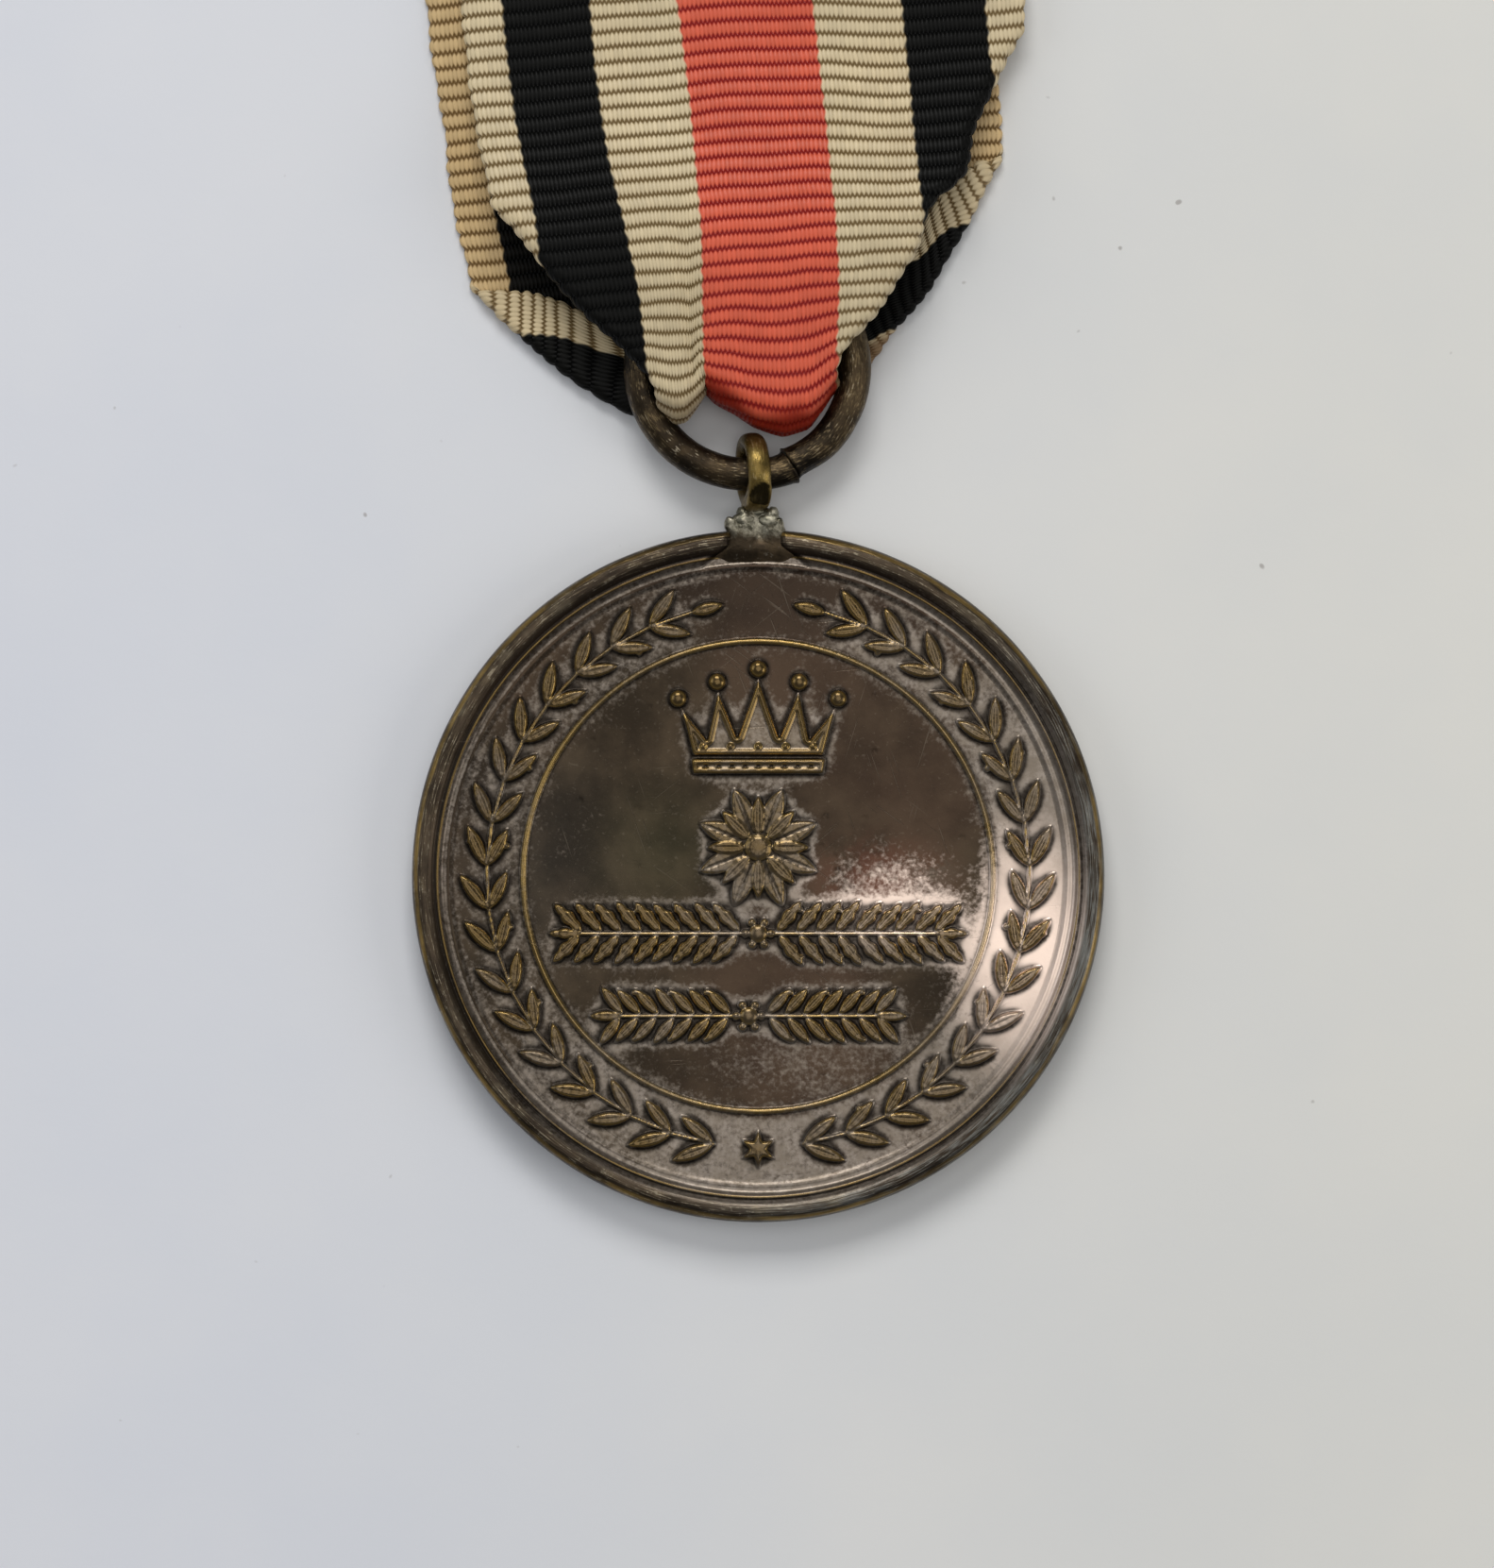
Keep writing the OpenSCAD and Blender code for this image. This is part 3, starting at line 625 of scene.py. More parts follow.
def build_back():
    """the back: a sunk field with a plain raised circle and a small wreath"""
    st = 0.085
    RB = 12.62
    n = int(RB / st) + 2
    g = np.arange(-n, n + 1) * st
    X, Y = np.meshgrid(g, g, indexing="xy")
    R_ = Relief((-X).ravel(), Y.ravel())
    for sgn in (-1, 1):
        for i in range(15):
            ang = -90 + sgn * (14 + i * 9.6)
            tan = ang + sgn * 90
            c, s_ = math.cos(math.radians(ang)), math.sin(math.radians(ang))
            R_.leaf(9.0 * c, 9.0 * s_, tan - sgn * 28, 2.1, 0.8, 0.18)
            R_.leaf(8.9 * c, 8.9 * s_, tan + sgn * 28, 2.0, 0.76, 0.18)
    R_.bead(0, -9.0, 0.5, 0.2)
    r = np.hypot(X, Y)
    h = R_.h.reshape(X.shape)
    h = np.maximum(h, 0.1 * np.sqrt(np.clip(1 - ((r - 11.6) / 0.14) ** 2, 0, 1)))
    h = np.maximum(h, 0.08 * np.sqrt(np.clip(1 - ((r - 6.0) / 0.12) ** 2, 0, 1)))
    h = 0.5 * h + 0.5 * box_blur(h, 1)
    halo = box_blur(box_blur((h > 0.05).astype(float), 3), 3)
    gx, gy = np.gradient(h, st)
    z = 0.33 - h + 0.01 * fbm(X, Y, 2.5, 3, 15)
    inside = r < RB
    keep = inside[:-1, :-1] | inside[1:, :-1] | inside[:-1, 1:] | inside[1:, 1:]
    used = np.zeros_like(inside)
    used[:-1, :-1] |= keep
    used[1:, :-1] |= keep
    used[:-1, 1:] |= keep
    used[1:, 1:] |= keep
    idx = np.full(X.shape, -1)
    idx[used] = np.arange(used.sum())
    f = np.stack([idx[:-1, :-1], idx[1:, :-1], idx[1:, 1:], idx[:-1, 1:]], -1)[keep]
    sc = np.where(r > RB, RB / np.maximum(r, 1e-6), 1.0)
    zz = np.where(r > RB - 0.2, 0.33, z)
    V = np.stack([(X * sc)[used] + OX, (Y * sc)[used] + OY, zz[used]], -1)
    return make_mesh("disc_back", V, f, attrs={"relief": np.clip(h[used] / 0.2, 0, 1.2), "halo": halo[used],
                                               "slope": np.clip(np.hypot(gx, gy)[used], 0, 2), "cavity": 0 * h[used]})


disc_face, disc_border = build_face()
disc_rim, disc_back = build_body(), build_back()
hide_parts("medal_disc")
for o in (disc_face, disc_border, disc_rim, disc_back):
    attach(o, "medal")


# ---------------------------------------------------------------- ring, eye, lug, solder
def tube_ring():
    R0, r0 = 4.49, 0.69
    phi0 = math.radians(-67.0)
    gap = 0.0065
    n, m = 300, 26
    t = np.linspace(0, 1, n)
    phi = phi0 + gap + t * (2 * math.pi - 2 * gap)
    al = np.arange(m) * 2 * math.pi / m
    PH, AL = np.meshgrid(phi, al, indexing="ij")
    T = np.repeat(t[:, None], m, 1)
    x3, y3 = np.cos(PH) * 5, np.sin(PH) * 5
    rr = r0 + 0.016 * fbm(PH * 4.49, AL * 0.69, 1.1, 3, 21) + 0.006 * fbm(PH * 4.49 * 3, AL * 2, 0.5, 2, 22)
    # flats left by pliers near the ends
    for (c, a0, w, dep) in ((0.022, 0.4, 0.02, 0.07), (0.975, 2.4, 0.018, 0.06), (0.06, 4.4, 0.015, 0.04)):
        d = np.angle(np.exp(1j * (AL - a0)))
        rr -= dep * np.exp(-((T - c) / w) ** 2) * np.exp(-(d / 0.7) ** 2)
    end = np.minimum(T, 1 - T) * (2 * math.pi * R0)
    rho = rr * np.cos(AL)
    zz = rr * np.sin(AL)
    # slanted cut, and ends a little out of line
    near0 = 1 - smooth01(T * 2 * math.pi * R0 / 2.0)
    near1 = 1 - smooth01((1 - T) * 2 * math.pi * R0 / 2.0)
    PH = PH + (rho * 0.15 + zz * 0.24) / R0 * (near0 + near1) + 0.002 * (near0 - near1) * smooth01(rho / r0)
    burr = np.exp(-(end / 0.09) ** 2)
    rad = R0 + rho * (1 + 0.09 * burr) - 0.07 * near0 + 0.07 * near1
    zz = zz * (1 + 0.05 * burr) + 0.05 * near0 - 0.04 * near1
    X, Y, Z = RX + rad * np.cos(PH), RY + rad * np.sin(PH), RZ + zz
    V = np.stack([X, Y, Z], -1).reshape(-1, 3)
    f = grid_faces(n, m, wrap=True)
    caps, extra = [], []
    base = len(V)
    for row, flip in ((0, False), (n - 1, True)):
        ringp = V[row * m:(row + 1) * m]
        c = ringp.mean(0)
        start = base + len(extra)
        inner = c + (ringp - c) * 0.55
        extra.extend(inner.tolist())
        a = np.arange(m)
        b = (a + 1) % m
        q = np.stack([row * m + a, row * m + b, start + b, start + a], -1)
        caps.append(q if flip else q[:, ::-1])
        ci = base + len(extra)
        extra.append(c.tolist())
        q2 = np.stack([start + a, start + b, np.full(m, ci), np.full(m, ci)], -1)
        caps.append(q2 if flip else q2[:, ::-1])
    V = np.concatenate([V, np.array(extra)])
    V[:, 0] += OX
    V[:, 1] += OY
    quads = np.concatenate([f] + [caps[0], caps[2]])
    u_ = np.concatenate([np.stack([T * 28.2, AL * r0], -1).reshape(-1, 2), np.zeros((len(V) - n * m, 2))]) / 30
    ob = make_mesh("split_ring", V, quads, uv=u_)
    # triangle fans for the ends
    me = ob.data
    import bmesh
    bm = bmesh.new()
    bm.from_mesh(me)
    bm.verts.ensure_lookup_table()
    for q2 in (caps[1], caps[3]):
        for tri in q2:
            ids = list(dict.fromkeys(int(v) for v in tri))
            try:
                bm.faces.new([bm.verts[i] for i in ids])
            except ValueError:
                pass
    bmesh.ops.recalc_face_normals(bm, faces=bm.faces)
    for fa in bm.faces:
        fa.smooth = True
    bm.to_mesh(me)
    bm.free()
    return ob


def eye_loop():
    n, m = 132, 28
    th = np.arange(n) * 2 * math.pi / n - math.pi / 2
    al = np.arange(m) * 2 * math.pi / m
    TH, AL = np.meshgrid(th, al, indexing="ij")
    hw, hr, mean = 0.475, 0.335, 1.305
    foot = smooth01((-0.35 - np.sin(TH) * 1.3) / 0.5) * (np.cos(TH) > -0.3)
    e = 0.86 - 0.42 * foot
    hw = hw + 0.03 * foot
    cx = hw * np.sign(np.cos(AL)) * np.abs(np.cos(AL)) ** e
    cr = hr * np.sign(np.sin(AL)) * np.abs(np.sin(AL)) ** e
    nz = 0.02 * fbm(TH * 1.3, AL * 0.5, 0.8, 3, 31)
    cx = cx * (1 + nz) + 0.02 * fbm(TH * 1.3, AL * 0, 1.4, 2, 33)
    rad = mean + cr * (1 + nz)
    X = cx
    Y = rad * np.sin(TH)
    Z = rad * np.cos(TH)
    # the cut end of the strip, a flat facet low on the front
    lim = 1.47 + 0.80 * (Y + 0.63) - 0.10 * X
    cut = (Y < -0.45) & (Z > 0.3) & (Z > lim) & (X < 0.36)
    facet = np.where(cut, 1.0, 0.0)
    Z = np.where(cut, np.maximum(lim, 0.2), Z)
    # turned a little about the upright, so the strand behind shows on the left
    tw = math.radians(12.0)
    X, Z = X * math.cos(tw) + Z * math.sin(tw), Z * math.cos(tw) - X * math.sin(tw)
    # lean to the left
    a = math.radians(3.4)
    Yb = Y + 1.62
    X2 = X * math.cos(a) - Yb * math.sin(a)
    Y2 = X * math.sin(a) + Yb * math.cos(a) - 1.62
    V = np.stack([X2 + EX + 0.02 + OX, Y2 + EY + OY, np.clip(Z + 1.64, 0.004, 3.28)], -1).reshape(-1, 3)
    i = np.arange(n)
    f = []
    for k in range(n):
        k2 = (k + 1) % n
        j = np.arange(m)
        j2 = (j + 1) % m
        f.append(np.stack([k * m + j, k * m + j2, k2 * m + j2, k2 * m + j], -1))
    u_ = np.stack([TH * 1.3, AL * 0.42], -1).reshape(-1, 2) / 30
    ob = make_mesh("eye_loop", V, np.concatenate(f), uv=u_, attrs={"facet": facet.ravel()})
    fix_normals(ob)
    return ob


def fix_normals(ob):
    import bmesh
    bm = bmesh.new()
    bm.from_mesh(ob.data)
    bmesh.ops.recalc_face_normals(bm, faces=bm.faces)
    bm.to_mesh(ob.data)
    bm.free()


def resample(pts, n):
    p = np.array(pts + [pts[0]], float)
    L = np.concatenate([[0], np.cumsum(np.hypot(*np.diff(p, axis=0).T))])
    t = np.linspace(0, L[-1], n + 1)[:-1]
    return np.stack([np.interp(t, L, p[:, 0]), np.interp(t, L, p[:, 1])], -1)


def lug_block():
    out = [(-2.30, 13.12), (-1.84, 13.46), (-1.45, 13.85), (-1.23, 14.18), (-1.31, 14.44), (-1.43, 14.61), (-1.42, 14.87),
           (-1.30, 15.06), (-1.14, 15.02), (-0.98, 14.97), (-0.79, 15.12), (-0.62, 15.34), (-0.40, 15.42), (0.10, 15.40), (0.42, 15.40),
           (0.56, 15.34), (0.69, 15.12), (0.82, 15.00), (1.00, 15.00), (1.07, 14.77), (1.10, 14.58), (1.18, 14.44), (1.15, 14.18),
           (1.28, 13.85), (1.58, 13.50), (2.05, 13.15), (1.2, 12.97), (0.6, 13.0), (0, 13.01), (-0.6, 13.0), (-1.2, 12.96)]
    n = 190
    o = resample(out, n)
    for _ in range(2):
        o = 0.25 * np.roll(o, 1, 0) + 0.5 * o + 0.25 * np.roll(o, -1, 0)
    c = np.array([-0.13, 14.2])
    rows = []
    levels = [(0.55, 0.26), (0.85, 0.26), (0.95, 0.28), (0.99, 0.36), (1.0, 0.6), (1.0, 1.0), (1.0, 1.4), (1.0, 1.66), (0.985, 1.78),
              (0.95, 1.87), (0.9, 1.91), (0.82, 1.93), (0.72, 1.95), (0.6, 1.96), (0.48, 1.97), (0.36, 1.97), (0.24, 1.97), (0.12, 1.97), (0.04, 1.97)]
    for k, (s_, z) in enumerate(levels):
        p = c + (o - c) * s_
        zz = np.full(n, z)
        if z > 1.3:
            w = min(1, (z - 1.3) / 0.4)
            zz = zz - w * 0.04 * smooth01((14.2 - p[:, 1]) / 0.6) - w * 0.13 * smooth01((13.75 - p[:, 1]) / 0.65)
            zz = zz - w * 0.05 * smooth01((np.abs(p[:, 0] + 0.1) - 1.1) / 0.5) * smooth01((13.9 - p[:, 1]) / 0.4) - w * 0.16 * np.exp(-((p[:, 0] - 0.05) / 0.34) ** 2) * smooth01((p[:, 1] - 13.7) / 0.5)
            zz = zz + w * 0.10 * (np.exp(-((p[:, 0] + 1.22) ** 2 + (p[:, 1] - 14.85) ** 2) / 0.05) + np.exp(-((p[:, 0] - 0.94) ** 2 + (p[:, 1] - 14.83) ** 2) / 0.04))
            rough = smooth01((p[:, 1] - 14.0) / 0.6)
            zz = zz + (0.02 + 0.06 * rough) * fbm(p[:, 0], p[:, 1], 0.42, 3, 41) * w
        p = p + 0.012 * np.stack([fbm(p[:, 0], p[:, 1] + z, 0.4, 2, 43), fbm(p[:, 0] + z, p[:, 1], 0.4, 2, 44)], -1)
        rows.append(np.column_stack([p, zz]))
    V = np.concatenate(rows)
    V[:, 0] += OX
    V[:, 1] += OY
    f = grid_faces(len(levels), n, wrap=True)
    ob = make_mesh("lug_block", V, f)
    fill_ends(ob, len(levels), n)
    return ob


def fill_ends(ob, rows, n):
    import bmesh
    bm = bmesh.new()
    bm.from_mesh(ob.data)
    bm.verts.ensure_lookup_table()
    bm.faces.new([bm.verts[i] for i in range(n)][::-1])
    bm.faces.new([bm.verts[(rows - 1) * n + i] for i in range(n)])
    bmesh.ops.recalc_face_normals(bm, faces=bm.faces)
    for fa in bm.faces:
        fa.smooth = True
    bm.to_mesh(ob.data)
    bm.free()


def blob(cx, cy, cz, rx, ry, rz, seed, amp=0.11, nu=36, nv=22):
    u = np.arange(nu) * 2 * math.pi / nu
    v = np.linspace(0.04, math.pi - 0.04, nv)
    VV, UU = np.meshgrid(v, u, indexing="ij")
    d = 1 + amp * fbm(np.sin(VV) * np.cos(UU) * 2 + seed, np.cos(VV) * 2 + np.sin(UU) * np.sin(VV) * 1.7, 0.9, 3, seed)
    X, Y, Z = cx + rx * d * np.sin(VV) * np.cos(UU), cy + ry * d * np.sin(VV) * np.sin(UU), cz + rz * d * np.cos(VV)
    return np.stack([X, Y, Z], -1).reshape(-1, 3), grid_faces(nv, nu, wrap=True), nu, nv


def solder_mass():
    V, F, caps = [], [], []
    base = 0
    for (cx, cy, cz, rx, ry, rz, sd) in ((-0.66, 15.18, 1.50, 0.26, 0.30, 0.46, 51), (0.62, 15.16, 1.48, 0.24, 0.30, 0.44, 52),
                                         (-0.1, 15.22, 1.15, 0.72, 0.2, 0.5, 53), (-0.62, 14.90, 1.78, 0.50, 0.30, 0.22, 54),
                                         (0.48, 14.88, 1.78, 0.46, 0.30, 0.22, 55), (-0.04, 15.22, 1.62, 0.46, 0.22, 0.24, 56)):
        v, f, nu, nv = blob(cx, cy, cz, rx, ry, rz, sd)
        V.append(v)
        F.append(f + base)
        caps.append((base, base + (nv - 1) * nu, nu))
        base += len(v)
    V = np.concatenate(V)
    V[:, 0] += OX
    V[:, 1] += OY
    ob = make_mesh("solder", V, np.concatenate(F))
    import bmesh
    bm = bmesh.new()
    bm.from_mesh(ob.data)
    bm.verts.ensure_lookup_table()
    for (a, b, nu) in caps:
        bm.faces.new([bm.verts[a + i] for i in range(nu)])
        bm.faces.new([bm.verts[b + i] for i in range(nu)][::-1])
    bmesh.ops.recalc_face_normals(bm, faces=bm.faces)
    for fa in bm.faces:
        fa.smooth = True
    bm.to_mesh(ob.data)
    bm.free()
    return ob


ring_ob, eye_ob, lug_ob, solder_ob = tube_ring(), eye_loop(), lug_block(), solder_mass()
for o, node, body, slot in ((ring_ob, "suspension_ring", "ring", "ring_bronze"), (eye_ob, "suspension_loop", "medal", "eye_brass"),
                            (lug_ob, "suspension_lug", "medal", "lug_brass"), (solder_ob, "solder_fillet", "medal", "tin_solder")):
    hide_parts(node)
    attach(o, body)


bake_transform(ribbon)


# ---------------------------------------------------------------- materials
def srgb(r, g, b):
    f = lambda c: c / 12.92 if c <= 0.04045 else ((c + 0.055) / 1.055) ** 2.4
    return (f(r), f(g), f(b), 1.0)


class Mat:
    def __init__(self, name):
        self.m = bpy.data.materials.new(name)
        self.m.use_nodes = True
        self.t = self.m.node_tree
        self.b = self.t.nodes["Principled BSDF"]

    def n(self, kind, **props):
        x = self.t.nodes.new(kind)
        for k, v in props.items():
            setattr(x, k, v)
        return x

    def put(self, sock, v):
        if isinstance(v, bpy.types.NodeSocket):
            self.t.links.new(v, sock)
        else:
            sock.default_value = v

    def math(self, op, a, b=None, c=None, clamp=False):
        x = self.n("ShaderNodeMath", operation=op, use_clamp=clamp)
        for s, v in zip(x.inputs, (a, b, c)):
            if v is not None:
                self.put(s, v)
        return x.outputs[0]

    def add(self, a, b):
        return self.math("ADD", a, b)

    def mul(self, a, b):
        return self.math("MULTIPLY", a, b)

    def ramp(self, v, lo, hi, a=0.0, b=1.0):
        x = self.n("ShaderNodeMapRange", interpolation_type="SMOOTHSTEP")
        self.put(x.inputs[0], v)
        for i, q in zip((1, 2, 3, 4), (lo, hi, a, b)):
            x.inputs[i].default_value = q
        return x.outputs[0]

    def mix(self, f, a, b, mode="MIX"):
        x = self.n("ShaderNodeMix", data_type="RGBA", blend_type=mode)
        self.put(x.inputs[0], f)
        self.put(x.inputs[6], a)
        self.put(x.inputs[7], b)
        return x.outputs[2]

    def noise(self, scale, detail=3.0, rough=0.55, vec=None, dist=0.0):
        x = self.n("ShaderNodeTexNoise")
        x.inputs["Scale"].default_value = scale
        x.inputs["Detail"].default_value = detail
        x.inputs["Roughness"].default_value = rough
        x.inputs["Distortion"].default_value = dist
        self.put(x.inputs["Vector"], vec if vec is not None else self.obj())
        return x.outputs[0]

    def obj(self):
        if not hasattr(self, "_o"):
            self._o = self.n("ShaderNodeTexCoord").outputs["Object"]
        return self._o

    def mapped(self, scale=(1, 1, 1), rot=(0, 0, 0), loc=(0, 0, 0)):
        x = self.n("ShaderNodeMapping")
        self.put(x.inputs["Vector"], self.obj())
        x.inputs["Scale"].default_value = scale
        x.inputs["Rotation"].default_value = rot
        x.inputs["Location"].default_value = loc
        return x.outputs[0]

    def attr(self, name):
        return self.n("ShaderNodeAttribute", attribute_name=name).outputs["Fac"]

    def bump(self, h, strength, dist, normal=None):
        x = self.n("ShaderNodeBump")
        x.inputs["Strength"].default_value = strength
        x.inputs["Distance"].default_value = dist
        self.put(x.inputs["Height"], h)
        if normal is not None:
            self.put(x.inputs["Normal"], normal)
        return x.outputs[0]

    def out(self, **kw):
        for k, v in kw.items():
            self.put(self.b.inputs[k.replace("_", " ")], v)
        return self.m


def scratches(M, scale, rots, sharp=0.5):
    """a sum of thin stretched noise streaks, 0..1"""
    total = None
    for i, r in enumerate(rots):
        v = M.mapped(rot=(0, 0, r), loc=(0.0131 * i, 0.007, 0.001 * i))
        x = M.n("ShaderNodeMapping")
        M.put(x.inputs["Vector"], v)
        x.inputs["Scale"].default_value = (scale, scale * 0.03, scale * 0.2)
        nz = M.noise(1.0, 1.0, 0.5, vec=x.outputs[0])
        line = M.mul(M.ramp(nz, 0.70, 0.76), M.ramp(M.noise(170.0 + 31 * i, 2.0), 0.5, 0.62))
        total = line if total is None else M.math("MAXIMUM", total, line)
    return total


def ribbon_material():
    M = Mat("ribbon_grosgrain")
    uv = M.n("ShaderNodeUVMap", uv_map="UVMap").outputs[0]
    sep = M.n("ShaderNodeSeparateXYZ")
    M.put(sep.inputs[0], uv)
    u = M.mul(M.math("SUBTRACT", sep.outputs[0], 0.5), 24.0)
    s = M.mul(M.math("SUBTRACT", sep.outputs[1], 0.5), 80.0)
    au = M.math("ABSOLUTE", u)
    # rib phase, as in the mesh
    ph = M.mul(s, 1 / PITCH)
    rib = M.math("ABSOLUTE", M.math("SINE", M.mul(ph, math.pi)))
    k = M.math("FLOOR", ph)
    # warp threads: offset by half a thread on every other rib
    jit = M.mul(M.math("SUBTRACT", M.noise(700.0, 1.0), 0.5), 0.8)
    tu = M.add(M.mul(u, 1 / 0.185), M.add(M.mul(k, 0.5), jit))
    th = M.math("ABSOLUTE", M.math("SINE", M.mul(tu, math.pi)))
    tid = M.n("ShaderNodeTexWhiteNoise", noise_dimensions="2D")
    cv = M.n("ShaderNodeCombineXYZ")
    M.put(cv.inputs[0], M.math("FLOOR", tu))
    M.put(cv.inputs[1], k)
    M.put(tid.inputs["Vector"], cv.outputs[0])
    each = tid.outputs["Value"]
    # stripes
    wob = M.mul(M.math("SINE", M.mul(ph, math.pi * 2)), 0.035)
    edge = M.add(au, M.add(wob, M.mul(M.math("SUBTRACT", M.noise(1200.0, 1.0), 0.5), 0.12)))

    def stripes(a, b, c):
        cr = M.n("ShaderNodeValToRGB")
        M.put(cr.inputs[0], M.mul(edge, 1 / 12.0))
        r = cr.color_ramp
        stops = [(0.0, a), (2.77, a), (2.84, b), (6.41, b), (6.48, c), (10.11, c), (10.18, b), (12.0, b)]
        while len(r.elements) < len(stops):
            r.elements.new(0.5)
        for e, (p, col) in zip(r.elements, stops):
            e.position, e.color = p / 12.0, col
        return cr.outputs[0]

    # a lit copy of the stripe colours for the rib tops and a darker painted-shade copy for the grooves
    tops = stripes(srgb(0.84, 0.355, 0.242), srgb(0.82, 0.75, 0.605), srgb(0.056, 0.056, 0.050))
    shaded_stripes = stripes(srgb(0.56, 0.065, 0.028), srgb(0.47, 0.385, 0.24), srgb(0.014, 0.014, 0.012))
    # the painted groove shade is toothed by the threads of the two ribs beside it
    saw = M.math("PINGPONG", tu, 0.5)
    g = M.ramp(M.add(rib, M.mul(M.math("SUBTRACT", saw, 0.25), 1.05)), 0.20, 0.76)
    shade = M.add(0.80, M.add(M.mul(th, 0.10), M.mul(each, 0.12)))
    tone = M.ramp(M.noise(260.0, 3.0), 0.25, 0.75, 0.92, 1.07)
    top = M.mix(1.0, tops, M.comb(shade, tone), "MULTIPLY")
    col = M.mix(g, shaded_stripes, top)
    # painted shade where the cloth turns under round the ring: darker and a deeper red, with less specular
    turn = M.attr("turn")
    col = M.mix(M.mul(turn, 0.9), col, M.mix(1.0, M.mix(0.22, shaded_stripes, top), srgb(0.80, 0.72, 0.70), "MULTIPLY"))
    # painted warm shade on the layer behind the front one, faint on the folded flaps
    rear_shade = M.mul(M.attr("rear_shade"), M.ramp(au, 2.7, 2.9))
    col = M.mix(M.mul(rear_shade, 0.9), col, M.mix(1.0, col, srgb(1.0, 0.93, 0.82), "MULTIPLY"))
    dirt = M.ramp(M.noise(90.0, 4.0, 0.6), 0.50, 0.78)
    col = M.mix(M.mul(dirt, 0.25), col, M.mix(1.0, col, srgb(0.86, 0.78, 0.62), "MULTIPLY"))
    height = M.add(M.mul(th, M.add(0.18, M.mul(M.math("SUBTRACT", 1.0, rib), 0.9))), M.add(M.mul(M.noise(2600.0, 2.0), 0.25), M.mul(each, 0.25)))
    nrm = M.bump(height, 0.8, 0.00007)
    lit = M.math("SUBTRACT", 0.32, M.mul(M.mul(M.ramp(au, 6.40, 6.50), M.ramp(au, 10.18, 10.10)), 0.25))
    lit = M.mul(lit, M.math("SUBTRACT", 1.0, M.mul(turn, 0.6)))
    return M.out(Base_Color=col, Roughness=M.ramp(th, 0, 1, 0.60, 0.38), Normal=nrm, Specular_IOR_Level=lit)


def _comb(self, a, b):
    """grey colour from the product of two values"""
    v = self.mul(a, b)
    x = self.n("ShaderNodeCombineColor")
    for i in range(3):
        self.put(x.inputs[i], v)
    return x.outputs[0]


Mat.comb = _comb


